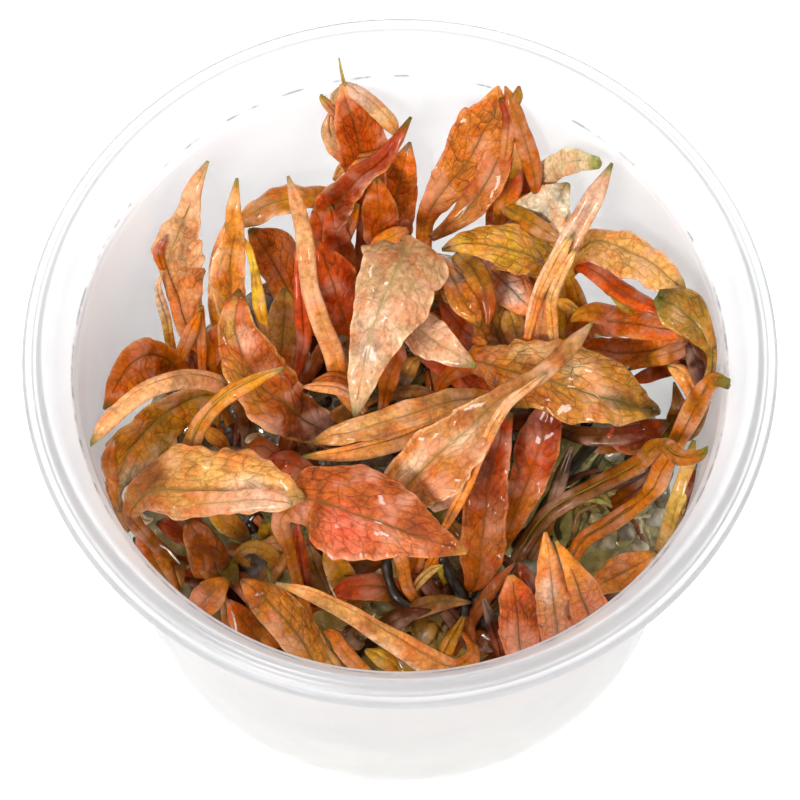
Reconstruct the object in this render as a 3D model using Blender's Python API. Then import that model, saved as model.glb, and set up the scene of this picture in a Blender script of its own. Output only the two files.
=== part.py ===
"""An open tissue culture cup of flamingo water trumpet: cup, culture gel, crowns and leaves.

The cup stands on its foot ring with its axis along Z and its foot at height zero. The
plantlets' leaves reach up from their crowns, which sit in the gel.
"""

import math

import bmesh
import bpy
import numpy as np

MM = 0.001
GAP = 0.0003

# Cup: a thin turned pot, wider at the top, with a sloping lid seat inside a flat rim
CUP_HEIGHT = 0.070
CUP_SIDES = 48
RIM_RADIUS = 0.050
RIM_THICKNESS = 0.0025
RIM_EDGE = 0.0004
RIM_STEP = 0.0007
MOUTH_RADIUS = 0.0466
SEAT_RADIUS = 0.04365
SEAT_DEPTH = 0.0061
WALL = 0.0008
WALL_TOP_RADIUS = 0.0429
WALL_TOP = 0.0632
WALL_FOOT_RADIUS = 0.0375
WALL_FOOT = 0.0060
FOOT_RADIUS = 0.0364
FOOT_WIDTH = 0.0024
FOOT_HEIGHT = 0.0010
FOOT_BEVEL = 0.0006
CORNER_REACH = 0.0015
CORNER_RISE = 0.0022
FLOOR_RISE = 0.0011

# Culture gel: a low cake in the foot of the cup, whose top has soft lumps
GEL_HEIGHT = 0.0198
GEL_LUMP = 0.0011
GEL_SIDES = 32
GEL_RINGS = 6
LUMP_WAVES = ((0.42, 0.10, 0.3), (-0.17, 0.38, 1.9), (0.23, -0.51, 4.2))

# Crown: the short root stock in the gel that carries the leaf stalks
CROWN_RADIUS = 0.0021
CROWN_TOP = 0.0269
CROWN_TIP = 0.0090
CROWN_SIDES = 10
CROWN_TAPER = 0.0008
CROWN_TIP_LENGTH = 0.0060
STALK_FOOT = 0.0255
STALK_GAP = 0.0008
STALK_HALF_WIDTH = 0.0006

# Leaf: one closed sheet, thick along the midrib and stalk and thin at its margins
SPARE_STEPS = 4
BLADE_THICKNESS = 0.00045
RIB_THICKNESS = 0.0008
RIB_TAPER = 0.4
STALK_THICKNESS = 0.0010
STALK_SHARE = 0.3
STALK_MARGIN = 0.3
TIP_TAPER = 0.5
ROLLED_THICKNESS = 0.0010
ROLLED_MARGIN = 0.6
SMOOTH_ANGLE = math.radians(50)

# The leaf points are places in a picture of the plant with their real heights. Its eye
# stands VIEW_BACK in front of the cup's axis and VIEW_HEIGHT above its foot, looks down
# by VIEW_TILT, and sees a slope of one as VIEW_SCALE picture units
VIEW_TILT = math.radians(66.15)
VIEW_BACK = 0.2448
VIEW_HEIGHT = 0.6065
VIEW_SCALE = 4475.0
VIEW_CENTRE = 400.0
PICTURE_PER_MM = 7.1

# Colours in sRGB
PLASTIC_COLOUR = 0xE8EAEA
GEL_COLOUR = 0xCDBF9A
CROWN_COLOUR = 0x6B4526
TONES = {
    "pink": 0xE7A593,
    "salmon": 0xDB7F63,
    "orange": 0xD98246,
    "red": 0xB24A2C,
    "brown": 0x94592E,
    "olive": 0x8C7A3A,
    "cream": 0xE8C49A,
}

# Crowns: the place in the picture (across, down) where the stalks leave each one
CROWNS = {
    "crown_front": (472, 612),
    "crown_left": (238, 436),
    "crown_centre": (405, 425),
    "crown_back": (372, 318),
    "crown_back_right": (500, 338),
    "crown_right": (560, 400),
    "crown_front_right": (552, 655),
    "crown_front_left": (330, 672),
    "crown_lower_left": (205, 560),
}

# Leaves: crown, tone, direction of the stalk's foot round the crown in degrees, lift of
# the left and the right margin for each unit of half width, and the stations from stalk
# to tip: place in the picture (across, down), height in mm, half widths left and right
# in picture units
BLADES = {
    "leaf_rolled_tip": ("crown_front", "orange", 185, (0.35, 0.25), (
        (425, 606, 26, 5, 5), (410, 592, 29, 6, 6), (402, 562, 34, 7, 7),
        (394, 525, 41, 12, 14), (404, 492, 46, 24, 30), (430, 463, 51, 31, 40),
        (465, 432, 55, 24, 30), (500, 400, 58, 13, 12), (545, 371, 60, 9, 9),
        (575, 342, 62, 8, 8), (592, 323, 63, 1.5, 1.5))),
    "leaf_salmon_front": ("crown_front_left", "salmon", 112, (-0.1, -0.1), (
        (300, 590, 30, 5, 5), (289, 550, 39, 6, 6), (282, 518, 46, 10, 10),
        (300, 501, 50, 24, 32), (330, 505, 53, 42, 47), (365, 518, 54, 49, 46),
        (400, 530, 54, 38, 30), (440, 544, 53, 17, 14), (467, 553, 52, 1.5, 1.5))),
    "leaf_pale_orange_left": ("crown_lower_left", "cream", 180, (-0.15, 0.2), (
        (170, 556, 30, 6, 6), (146, 535, 37, 7, 7), (133, 512, 44, 10, 8),
        (158, 492, 49, 36, 27), (210, 491, 51, 41, 23), (255, 496, 52, 42, 18),
        (285, 500, 53, 25, 12), (305, 499, 52, 1.5, 1.5))),
    "leaf_olive_left": ("crown_left", "olive", 215, (-0.5, 0.9), (
        (215, 395, 36, 9, 8), (178, 405, 41, 24, 13), (143, 433, 44, 32, 18),
        (122, 463, 46, 32, 20), (115, 489, 46, 8, 6), (119, 512, 45, 1.5, 1.5))),
    "leaf_brown_left": ("crown_left", "brown", 165, (-0.4, 0.3), (
        (196, 398, 31, 7, 7), (170, 362, 38, 18, 13), (143, 356, 45, 26, 18),
        (119, 378, 50, 22, 11), (104, 409, 54, 1.5, 1.5))),
    "leaf_pink_arc_spike": ("crown_left", "pink", 285, (0.5, 0.5), (
        (243, 410, 40, 8, 8), (229, 390, 48, 9, 9), (208, 380, 52, 10, 9),
        (180, 379, 56, 10, 9), (153, 387, 59, 9, 9), (128, 402, 61, 9, 8),
        (105, 424, 62.5, 8, 7), (89, 446, 63.5, 1.5, 1.5))),
    "leaf_short_spike_left": ("crown_lower_left", "cream", 100, (0.5, 0.5), (
        (196, 520, 29, 6, 6), (188, 482, 37, 8, 8), (190, 452, 44, 9, 9),
        (198, 428, 50, 9, 9), (212, 409, 55, 8, 8), (232, 392, 59, 8, 8),
        (257, 379, 60, 6, 6), (284, 368, 60, 1.5, 1.5))),
    "leaf_cupped_brown": ("crown_centre", "brown", 225, (0.25, 0.1), (
        (345, 440, 33, 12, 12), (318, 436, 39, 20, 22), (294, 410, 45, 36, 32),
        (268, 381, 49, 35, 26), (247, 350, 52, 28, 27), (240, 320, 53, 20, 15),
        (237, 289, 54, 1.5, 1.5))),
    "leaf_tall_spear": ("crown_left", "cream", 75, (0.5, 0.5), (
        (246, 380, 34, 7, 7), (243, 335, 40, 9, 9), (240, 295, 45, 12, 12),
        (238, 255, 51, 15, 10), (238, 225, 56, 13, 7), (237, 200, 60, 9, 4),
        (237, 178, 62, 1.5, 1.5))),
    "leaf_veined_back_left": ("crown_back", "orange", 200, (-0.2, -0.2), (
        (318, 328, 31, 10, 10), (294, 300, 35, 16, 18), (276, 268, 39, 17, 27),
        (262, 245, 43, 14, 26), (250, 229, 46, 3, 3))),
    "leaf_arching_back_left": ("crown_back", "orange", 130, (0.0, -0.4), (
        (344, 272, 33, 6, 6), (338, 232, 40, 9, 9), (326, 200, 46, 14, 14),
        (302, 197, 49, 13, 12), (275, 203, 50, 14, 14), (252, 215, 51, 12, 11),
        (237, 228, 51, 1.5, 1.5))),
    "leaf_long_pink_spike": ("crown_centre", "pink", 190, (0.6, 0.6), (
        (358, 408, 34, 8, 8), (341, 385, 40, 9, 9), (333, 352, 47, 10, 10),
        (320, 318, 52, 10, 9), (311, 288, 55, 9, 8), (307, 258, 58, 9, 8),
        (303, 228, 60, 8, 8), (295, 198, 61, 6, 6), (288, 176, 62, 1.5, 1.5))),
    "leaf_veined_centre_left": ("crown_back", "salmon", 235, (-0.2, -0.2), (
        (350, 330, 31, 9, 9), (340, 305, 39, 20, 16), (330, 276, 45, 14, 25),
        (313, 238, 49, 1.5, 1.5))),
    "leaf_hooded_back": ("crown_back", "salmon", 95, (0.5, 0.3), (
        (362, 266, 32, 7, 7), (364, 225, 41, 8, 8), (368, 190, 48, 20, 18),
        (362, 158, 54, 32, 30), (356, 128, 59, 31, 33), (350, 105, 63, 27, 26),
        (346, 86, 65.5, 10, 10), (338, 57, 68.5, 1, 1))),
    "leaf_folded_spike_back": ("crown_back", "red", 165, (0.2, 0.6), (
        (328, 280, 33, 7, 7), (322, 246, 40, 13, 14), (333, 210, 49, 20, 17),
        (360, 178, 57, 13, 12), (389, 151, 62, 8, 9), (411, 117, 66, 1.5, 1.5))),
    "leaf_orange_flank_back": ("crown_back", "red", 55, (-0.2, -0.2), (
        (385, 272, 32, 8, 8), (393, 228, 40, 20, 20), (398, 192, 45, 22, 19),
        (404, 165, 50, 14, 13), (410, 142, 53, 1.5, 1.5))),
    "leaf_big_back_right": ("crown_back", "salmon", 15, (0.3, -0.3), (
        (421, 262, 34, 7, 7), (438, 202, 46, 12, 12), (468, 163, 54, 21, 32),
        (488, 128, 60, 27, 42), (499, 105, 63.5, 21, 26), (505, 84, 66, 1.5, 1.5))),
    "leaf_dark_fold_back_right": ("crown_back_right", "brown", 105, (0.2, -0.3), (
        (500, 262, 32, 9, 9), (503, 220, 39, 18, 18), (514, 186, 46, 22, 22),
        (525, 158, 53, 14, 12), (531, 142, 57, 1.5, 1.5))),
    "leaf_pale_blunt_back_right": ("crown_back_right", "pink", 25, (0.2, -0.2), (
        (550, 262, 33, 7, 7), (547, 226, 39, 8, 8), (541, 200, 45, 9, 9),
        (547, 175, 54, 14, 12), (570, 162, 60, 14, 12), (599, 163, 65, 6, 6))),
    "leaf_pale_yellow": ("crown_back_right", "cream", 65, (0.1, -0.2), (
        (526, 264, 33, 7, 7), (519, 226, 43, 12, 12), (536, 207, 47, 13, 15),
        (558, 216, 50, 14, 16), (573, 236, 51, 3, 3))),
    "leaf_forked_spike": ("crown_right", "cream", 198, (0.7, 0.7), (
        (538, 352, 42, 13, 13), (540, 325, 47, 15, 13), (548, 290, 53, 14, 12),
        (563, 256, 58, 12, 11), (578, 226, 61, 11, 10), (595, 195, 64, 9, 9),
        (612, 163, 66, 1.5, 1.5))),
    "leaf_broad_right_back": ("crown_right", "orange", 75, (-0.1, 0.3), (
        (588, 294, 39, 6, 7), (594, 256, 47, 16, 24), (620, 254, 53, 17, 35),
        (650, 266, 58, 15, 38), (672, 281, 60, 9, 24), (686, 293, 61, 1.5, 1.5))),
    "leaf_olive_blunt_right": ("crown_right", "olive", 325, (0.2, 0.2), (
        (650, 428, 31, 5, 5), (694, 430, 46, 6, 6), (706, 385, 58.5, 7, 6),
        (704, 347, 62, 14, 9), (690, 318, 64, 20, 18), (664, 301, 65, 12, 10))),
    "leaf_large_veined_right": ("crown_centre", "brown", 5, (-0.2, -0.25), (
        (440, 402, 33, 5, 5), (444, 381, 40, 7, 7), (470, 363, 43.5, 12, 12),
        (508, 371, 48, 30, 26), (550, 382, 51, 43, 32), (590, 394, 52, 42, 31),
        (628, 405, 51, 28, 20), (660, 413, 49, 2, 2))),
    "leaf_salmon_small": ("crown_back", "salmon", 280, (0.1, -0.3), (
        (404, 318, 44, 12, 12), (430, 338, 49, 21, 21), (455, 354, 50, 12, 14),
        (476, 367, 49, 1.5, 1.5))),
    "leaf_brown_centre": ("crown_front", "brown", 78, (-0.1, -0.1), (
        (486, 540, 27, 6, 6), (494, 460, 31, 8, 8), (484, 408, 34, 9, 18),
        (460, 380, 37, 9, 20), (432, 360, 39.5, 9, 12), (410, 348, 41, 2, 2))),
    "leaf_folded_pair_centre": ("crown_back_right", "orange", 180, (-0.2, 0.3), (
        (438, 275, 38, 8, 8), (450, 262, 43, 14, 14), (463, 280, 47, 22, 24),
        (476, 304, 48, 13, 19), (486, 329, 47, 1.5, 1.5))),
    "leaf_olive_midrib_back": ("crown_back_right", "olive", 345, (-0.2, -0.3), (
        (550, 308, 34, 8, 7), (559, 284, 41, 11, 10), (547, 266, 46, 15, 20),
        (522, 254, 50, 22, 29), (492, 245, 52, 18, 21), (466, 245, 52, 9, 14),
        (442, 250, 51, 1.5, 1.5))),
    "leaf_glossy_patch": ("crown_back_right", "salmon", 142, (-0.1, -0.2), (
        (478, 262, 38, 8, 8), (496, 275, 43, 18, 18), (515, 293, 44, 21, 20),
        (534, 314, 43, 6, 6))),
    "leaf_glossy_right_upper": ("crown_right", "brown", 38, (-0.2, -0.2), (
        (574, 322, 40, 10, 10), (606, 322, 45, 15, 14), (640, 325, 49, 15, 14),
        (668, 331, 52, 10, 10), (689, 338, 54, 1.5, 1.5))),
    "leaf_glossy_right_middle": ("crown_right", "brown", 0, (0.0, 0.2), (
        (588, 350, 36, 10, 10), (620, 354, 40, 16, 14), (655, 351, 44, 15, 12),
        (690, 345, 50, 3, 3))),
    "leaf_hooked_spike_right": ("crown_front", "cream", 16, (0.4, 0.4), (
        (520, 552, 27, 7, 7), (548, 514, 31, 9, 9), (600, 484, 36, 9, 9),
        (640, 462, 44, 9, 9), (656, 446, 50, 8, 8), (666, 446, 53, 8, 8),
        (681, 457, 57, 8, 8), (697, 456, 59.5, 6, 6), (710, 447, 62.3, 1.5, 1.5))),
    "leaf_hooked_band_right": ("crown_front_right", "cream", 78, (0.4, 0.4), (
        (566, 572, 26, 6, 6), (582, 542, 28, 8, 8), (612, 522, 32, 9, 9),
        (642, 500, 36, 10, 10), (658, 474, 41, 12, 7), (671, 449, 46, 10, 6),
        (685, 424, 52, 10, 10), (697, 400, 58, 10, 10), (706, 384, 62.5, 8, 8),
        (717, 379, 65, 6, 6), (728, 386, 66.5, 1.5, 1.5))),
    "leaf_pale_wall_right": ("crown_front_right", "cream", 12, (0.1, 0.3), (
        (612, 625, 24.5, 5, 5), (648, 580, 27, 6, 6), (664, 545, 37, 8, 6),
        (677, 512, 43, 12, 7), (684, 480, 46, 8, 8), (690, 458, 47.5, 6, 6),
        (694, 440, 48.5, 2, 2))),
    "leaf_brown_under_veined": ("crown_right", "brown", 288, (0.0, 0.2), (
        (590, 442, 29, 9, 9), (622, 440, 34, 13, 12), (652, 430, 39, 12, 12),
        (668, 422, 42, 3, 3))),
    "leaf_vertical_brown": ("crown_front", "brown", 110, (0.2, 0.2), (
        (477, 582, 30, 13, 12), (480, 560, 33, 20, 22), (485, 520, 38, 23, 22),
        (489, 480, 42, 20, 20), (500, 440, 46, 16, 12), (510, 412, 48, 4, 4))),
    "leaf_red_orange_centre": ("crown_front", "red", 47, (-0.2, -0.2), (
        (499, 552, 28, 6, 6), (513, 520, 32, 11, 12), (531, 472, 38, 20, 20),
        (543, 437, 42, 24, 19), (550, 412, 44, 14, 12), (556, 395, 45, 2, 2))),
    "leaf_folded_front_right": ("crown_front_right", "orange", 310, (0.0, -0.35), (
        (570, 650, 31, 14, 16), (570, 622, 38, 29, 32), (562, 590, 45, 25, 31),
        (555, 560, 49, 14, 20), (549, 532, 52, 1.5, 1.5))),
    "leaf_red_front_right": ("crown_front_right", "red", 225, (0.1, -0.1), (
        (527, 668, 28, 10, 12), (519, 643, 33, 17, 20), (517, 610, 38, 19, 21),
        (513, 588, 41, 12, 14), (510, 575, 42, 3, 3))),
    "leaf_brown_front_right": ("crown_front_right", "brown", 42, (-0.1, -0.2), (
        (592, 592, 29, 7, 7), (615, 577, 32, 18, 15), (640, 564, 35, 14, 14),
        (658, 554, 37, 4, 4))),
    "leaf_orange_front_spike": ("crown_front", "orange", 245, (0.5, 0.3), (
        (460, 630, 29, 6, 6), (450, 648, 35, 12, 9), (425, 655, 41, 17, 11),
        (393, 640, 45, 12, 10), (358, 617, 48, 9, 8), (322, 598, 50, 7, 7),
        (294, 587, 51, 5, 5), (276, 583, 51, 1.5, 1.5))),
    "leaf_brown_front_left": ("crown_front_left", "brown", 200, (-0.2, -0.2), (
        (311, 655, 31, 9, 9), (300, 637, 35, 17, 20), (283, 617, 39, 19, 22),
        (262, 597, 41, 17, 18), (243, 582, 41, 2, 2))),
    "leaf_orange_front_left": ("crown_lower_left", "orange", 262, (0.0, 0.0), (
        (196, 610, 26, 12, 12), (207, 598, 30, 16, 16), (219, 587, 33, 12, 12),
        (229, 578, 34, 2, 2))),
    "leaf_brown_lower_left": ("crown_lower_left", "brown", 320, (-0.1, -0.1), (
        (214, 548, 33, 10, 10), (192, 533, 36, 15, 15), (172, 527, 37, 12, 12),
        (156, 523, 37, 2, 2))),
    "leaf_orange_lower_left": ("crown_lower_left", "orange", 222, (0.0, 0.0), (
        (180, 577, 25, 8, 8), (160, 565, 26, 12, 12), (143, 549, 30, 8, 8),
        (134, 538, 33, 2, 2))),
    "leaf_back_left_spear": ("crown_left", "salmon", 120, (0.2, 0.2), (
        (211, 356, 35, 9, 9), (194, 318, 41, 18, 16), (184, 285, 46, 20, 22),
        (180, 258, 51, 27, 27), (183, 232, 55, 22, 23), (191, 207, 59, 12, 14),
        (200, 184, 62, 8, 8), (208, 161, 64, 1.5, 1.5))),
    "leaf_narrow_left_pointing": ("crown_right", "pink", 250, (0.1, 0.1), (
        (545, 404, 30, 6, 6), (510, 402, 38, 6, 6), (482, 398, 45, 8, 8),
        (460, 400, 49, 12, 12), (430, 408, 52, 13, 14), (395, 419, 53, 13, 14),
        (360, 430, 54, 12, 13), (335, 437, 54, 9, 11), (312, 442, 53, 1.5, 1.5))),
    "leaf_folded_left_pointing": ("crown_centre", "orange", 320, (0.3, 0.3), (
        (462, 418, 40, 8, 8), (437, 425, 44, 9, 9), (405, 438, 47, 10, 10),
        (370, 449, 49, 9, 9), (335, 455, 49, 6, 7), (302, 457, 48, 1.5, 1.5))),
    "leaf_central_pale": ("crown_back", "pink", 325, (-0.15, -0.15), (
        (420, 285, 40, 10, 10), (423, 262, 48, 26, 20), (412, 250, 54, 40, 32),
        (397, 268, 57, 48, 35), (382, 302, 58, 46, 28), (369, 345, 57, 28, 20),
        (360, 385, 54, 15, 12), (355, 418, 51, 1.5, 1.5))),
}

# Leaves rolled up along their length, so thicker at the margins than an open blade
ROLLED = (
    "leaf_pink_arc_spike", "leaf_short_spike_left", "leaf_long_pink_spike",
    "leaf_forked_spike", "leaf_hooked_spike_right", "leaf_hooked_band_right",
    "leaf_orange_front_spike", "leaf_folded_left_pointing",
)


def linear_colour(colour):
    """Linear red, green, blue and alpha of an sRGB hex value."""
    channels = [(colour >> shift & 255) / 255 for shift in (16, 8, 0)]
    linear = [c / 12.92 if c < 0.04045 else ((c + 0.055) / 1.055) ** 2.4 for c in channels]
    return (*linear, 1.0)


def material(name, colour, roughness, transmission=0.0):
    """Principled material of one finish, or the one already made with that name."""
    made = bpy.data.materials.get(name)
    if made is None:
        made = bpy.data.materials.new(name)
        made.use_nodes = True
        shader = made.node_tree.nodes["Principled BSDF"]
        shader.inputs["Base Color"].default_value = linear_colour(colour)
        shader.inputs["Roughness"].default_value = roughness
        shader.inputs["Metallic"].default_value = 0.0
        shader.inputs["Transmission Weight"].default_value = transmission
    return made


def add_object(name, mesh, finish, place=(0.0, 0.0, 0.0)):
    """Object in the scene with a mesh, a material and a place."""
    piece = bpy.data.objects.new(name, mesh)
    piece.location = place
    bpy.context.scene.collection.objects.link(piece)
    if finish and not mesh.materials:
        mesh.materials.append(finish)
    return piece


def turned_mesh(name, profile, sides):
    """Mesh of a closed section (radius, height), spun round Z and shaded smooth."""
    build = bmesh.new()
    points = [build.verts.new((radius, 0.0, height)) for radius, height in profile]
    edges = [build.edges.new(pair) for pair in zip(points, points[1:])]
    bmesh.ops.spin(
        build, geom=points + edges, axis=(0, 0, 1), cent=(0, 0, 0),
        angle=math.tau, steps=sides, use_merge=True, use_duplicate=False,
    )
    bmesh.ops.remove_doubles(build, verts=build.verts, dist=0.01 * MM)
    bmesh.ops.recalc_face_normals(build, faces=build.faces)
    mesh = bpy.data.meshes.new(name)
    build.to_mesh(mesh)
    build.free()
    mesh.shade_smooth()
    mesh.set_sharp_from_angle(angle=SMOOTH_ANGLE)
    return mesh


def wall_radius(height):
    """Inner radius of the cup's wall at a height between its foot and the lid seat."""
    share = (height - WALL_FOOT) / (WALL_TOP - WALL_FOOT)
    return WALL_FOOT_RADIUS + share * (WALL_TOP_RADIUS - WALL_FOOT_RADIUS)


def cup_profile():
    """Section of the cup: under the floor, up the outside, over the rim, down the inside."""
    rim_foot = CUP_HEIGHT - RIM_THICKNESS
    seat_foot = CUP_HEIGHT - SEAT_DEPTH
    floor = FOOT_HEIGHT + WALL
    foot_inside = FOOT_RADIUS - FOOT_WIDTH
    outside = (
        (0.0, FOOT_HEIGHT),
        (foot_inside - FOOT_BEVEL, FOOT_HEIGHT),
        (foot_inside, 0.0),
        (FOOT_RADIUS, 0.0),
        (FOOT_RADIUS + CORNER_REACH, CORNER_RISE),
        (WALL_FOOT_RADIUS + WALL, WALL_FOOT),
        (WALL_TOP_RADIUS + WALL, WALL_TOP - MM),
        (MOUTH_RADIUS, rim_foot - RIM_EDGE),
        (RIM_RADIUS - RIM_EDGE, rim_foot),
        (RIM_RADIUS, rim_foot + RIM_STEP),
        (RIM_RADIUS - RIM_EDGE, CUP_HEIGHT - RIM_STEP),
    )
    inside = (
        (MOUTH_RADIUS + 2 * RIM_STEP, CUP_HEIGHT - RIM_STEP),
        (MOUTH_RADIUS + RIM_STEP, CUP_HEIGHT),
        (MOUTH_RADIUS, CUP_HEIGHT),
        (SEAT_RADIUS, seat_foot),
        (WALL_TOP_RADIUS, WALL_TOP),
        (WALL_FOOT_RADIUS, WALL_FOOT),
        (FOOT_RADIUS, floor + FLOOR_RISE),
        (foot_inside, floor),
        (0.0, floor),
    )
    return outside + inside


def crown_profile(spare=0.0, top=CROWN_TOP):
    """Section of a crown, or of its pocket, which is larger by a spare width all round."""
    return (
        (0.0, CROWN_TIP - spare),
        (CROWN_RADIUS - CROWN_TAPER + spare, CROWN_TIP + CROWN_TIP_LENGTH / 3),
        (CROWN_RADIUS + spare, CROWN_TIP + CROWN_TIP_LENGTH),
        (CROWN_RADIUS + spare, top - MM),
        (CROWN_RADIUS - CROWN_TAPER + spare, top),
        (0.0, top),
    )


def crown_place(name):
    """Place of a crown on the table plane, from the sight line to where its stalks leave."""
    x, y, _ = sight(*CROWNS[name], STALK_FOOT)
    return (x, y, 0.0)


def gel_profile():
    """Section of the gel cake: across the cup's floor, up the wall and back to the middle."""
    floor = FOOT_HEIGHT + WALL + GAP
    radius = wall_radius(GEL_HEIGHT) - GAP
    side = (
        (0.0, floor),
        (FOOT_RADIUS - FOOT_WIDTH - GAP, floor),
        (FOOT_RADIUS - GAP, floor + FLOOR_RISE),
        (WALL_FOOT_RADIUS - GAP, WALL_FOOT),
    )
    top = [(radius * (1 - ring / GEL_RINGS), GEL_HEIGHT) for ring in range(GEL_RINGS + 1)]
    return (*side, *top)


def lump(x, y):
    """Height of the gel's soft lumps over its mean level: three crossing waves."""
    waves = [math.cos(a * x / MM + b * y / MM + start) for a, b, start in LUMP_WAVES]
    return GEL_LUMP * sum(waves) / len(waves)


def sight(across, down, height):
    """Point in space at a height (in metres) on the line of sight through a picture place."""
    rise = (VIEW_CENTRE - down) / VIEW_SCALE
    drop = VIEW_HEIGHT - height
    reach = drop * (math.cos(VIEW_TILT) + rise * math.sin(VIEW_TILT))
    reach = reach / (math.sin(VIEW_TILT) - rise * math.cos(VIEW_TILT))
    depth = reach * math.cos(VIEW_TILT) + drop * math.sin(VIEW_TILT)
    return np.array(((across - VIEW_CENTRE) * depth / VIEW_SCALE, reach - VIEW_BACK, height))


def smooth_rows(rows, count):
    """Rows of numbers carried along a smooth curve through the given rows, evenly by length.

    The curve is a cubic between each two rows, whose slope at a row comes from its neighbours.
    """
    rows = np.asarray(rows, float)
    steps = np.linalg.norm(np.diff(rows[:, :3], axis=0), axis=1)
    knots = np.concatenate(((0.0,), np.cumsum(steps)))
    slopes = np.gradient(rows, knots, axis=0)
    places = np.linspace(0.0, knots[-1], count)
    cell = np.clip(np.searchsorted(knots, places, side="right") - 1, 0, len(steps) - 1)
    width = steps[cell][:, None]
    part = ((places - knots[cell]) / steps[cell])[:, None]
    return (
        rows[cell] * (1 + 2 * part) * (1 - part) ** 2
        + rows[cell + 1] * part ** 2 * (3 - 2 * part)
        + slopes[cell] * width * part * (1 - part) ** 2
        - slopes[cell + 1] * width * part ** 2 * (1 - part)
    )


def leaf_rows(name):
    """Midrib, left margin and right margin points of a leaf at its stations, stalk first."""
    crown, _, turn, lifts, stations = BLADES[name]
    table = np.array(stations, float)
    course = np.gradient(table[:, :2], axis=0)
    course /= np.linalg.norm(course, axis=1)[:, None]
    rows = []
    for (across, down, height, *halves), (run_x, run_y) in zip(table, course):
        row = [sight(across, down, height * MM)]
        for half, lift, side in zip(halves, lifts, (1, -1)):
            margin = (across + side * run_y * half, down - side * run_x * half)
            row.append(sight(*margin, (height + lift * half / PICTURE_PER_MM) * MM))
        rows.append(np.concatenate(row))
    angle = math.radians(turn)
    outward = np.array((math.cos(angle), math.sin(angle), 0.0))
    aside = np.array((-math.sin(angle), math.cos(angle), 0.0)) * STALK_HALF_WIDTH
    if aside @ (rows[0][3:6] - rows[0][6:9]) < 0:
        aside = -aside
    foot = sight(*CROWNS[crown], STALK_FOOT) + outward * (CROWN_RADIUS + STALK_GAP)
    rows.insert(0, np.concatenate((foot, foot + aside, foot - aside)))
    return np.array(rows)


def leaf_sheet(name, steps):
    """Grid of points along the leaf and across it (left margin, midrib, right margin)."""
    rows = smooth_rows(leaf_rows(name), steps)
    return np.stack((rows[:, 3:6], rows[:, 0:3], rows[:, 6:9]), axis=1)


def leaf_thickness(name, steps):
    """Thickness of a leaf along it and across it (margin, midrib, margin)."""
    place = np.linspace(0.0, 1.0, steps)
    stalk = np.clip(1.0 - place / STALK_SHARE, 0.0, 1.0)
    if name in ROLLED:
        rib = np.full(steps, ROLLED_THICKNESS)
        margin = ROLLED_MARGIN * rib
    else:
        rib = RIB_THICKNESS * (1.0 - RIB_TAPER * place)
        rib += (STALK_THICKNESS - RIB_THICKNESS) * stalk
        margin = BLADE_THICKNESS * (1.0 + STALK_MARGIN * stalk)
    taper = 1.0 - TIP_TAPER * place ** 4
    return np.stack((margin, rib, margin), axis=1) * taper[:, None]


def leaf_solid(name, steps):
    """Points and quads of a closed leaf: its sheet moved half its thickness to each face."""
    sheet = leaf_sheet(name, steps)
    along = np.gradient(sheet, axis=0)
    left, middle, right = sheet.transpose(1, 0, 2)
    across = np.stack((middle - left, right - left, right - middle), axis=1)
    normal = np.cross(across, along)
    normal /= np.linalg.norm(normal, axis=2)[:, :, None]
    half = 0.5 * leaf_thickness(name, steps)[:, :, None] * normal
    ring = np.concatenate((sheet + half, (sheet - half)[:, ::-1]), axis=1)
    size = ring.shape[1]
    last = (steps - 1) * size
    faces = []
    for start in range(0, last, size):
        for side in range(size):
            this, that = start + side, start + (side + 1) % size
            faces.append((this, that, that + size, this + size))
    faces += [(1, 0, 5, 4), (2, 1, 4, 3)]
    faces += [(last, last + 1, last + 4, last + 5), (last + 1, last + 2, last + 3, last + 4)]
    return ring.reshape(-1, 3), faces


def add_cup():
    """The clear plastic cup."""
    finish = material("clear_plastic", PLASTIC_COLOUR, 0.25, transmission=0.8)
    add_object("cup", turned_mesh("cup", cup_profile(), CUP_SIDES), finish)


def add_gel():
    """The gel cake, with its lumpy top and an open pocket for each crown."""
    mesh = turned_mesh("culture_gel", gel_profile(), GEL_SIDES)
    for point in mesh.vertices:
        if point.co.z > GEL_HEIGHT - GAP:
            point.co.z += lump(point.co.x, point.co.y)
    gel = add_object("culture_gel", mesh, material("culture_gel", GEL_COLOUR, 0.15, 0.5))
    pocket_mesh = turned_mesh("pocket", crown_profile(GAP, CROWN_TOP + MM), CROWN_SIDES)
    for name in CROWNS:
        pocket = add_object("pocket_for_" + name, pocket_mesh, None, crown_place(name))
        pocket.hide_render = True
        pocket.display_type = "WIRE"
        cut = gel.modifiers.new("pocket_for_" + name, "BOOLEAN")
        cut.operation = "DIFFERENCE"
        cut.object = pocket


def add_crowns():
    """The crowns, copies of one turned root stock."""
    mesh = turned_mesh("crown", crown_profile(), CROWN_SIDES)
    finish = material("crown_tissue", CROWN_COLOUR, 0.5)
    for name in CROWNS:
        add_object(name, mesh, finish, crown_place(name))


def add_leaves():
    """The leaves, each a closed sheet in the colour of its tone."""
    for name, (_, tone, _, _, stations) in BLADES.items():
        points, faces = leaf_solid(name, len(stations) + SPARE_STEPS)
        mesh = bpy.data.meshes.new(name)
        mesh.from_pydata(points, [], faces)
        mesh.shade_smooth()
        mesh.set_sharp_from_angle(angle=SMOOTH_ANGLE)
        add_object(name, mesh, material("leaf_" + tone, TONES[tone], 0.35))


def main():
    for old in list(bpy.data.objects):
        bpy.data.objects.remove(old)
    add_cup()
    add_gel()
    add_crowns()
    add_leaves()


if __name__ == "__main__":
    main()
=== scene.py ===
"""Looks of an open tissue culture cup of flamingo water trumpet.

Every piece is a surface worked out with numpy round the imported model: the turned cup and
gel, the lumps of gel, the crowns and roots, and the leaves with their stalks.
"""

import math

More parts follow.
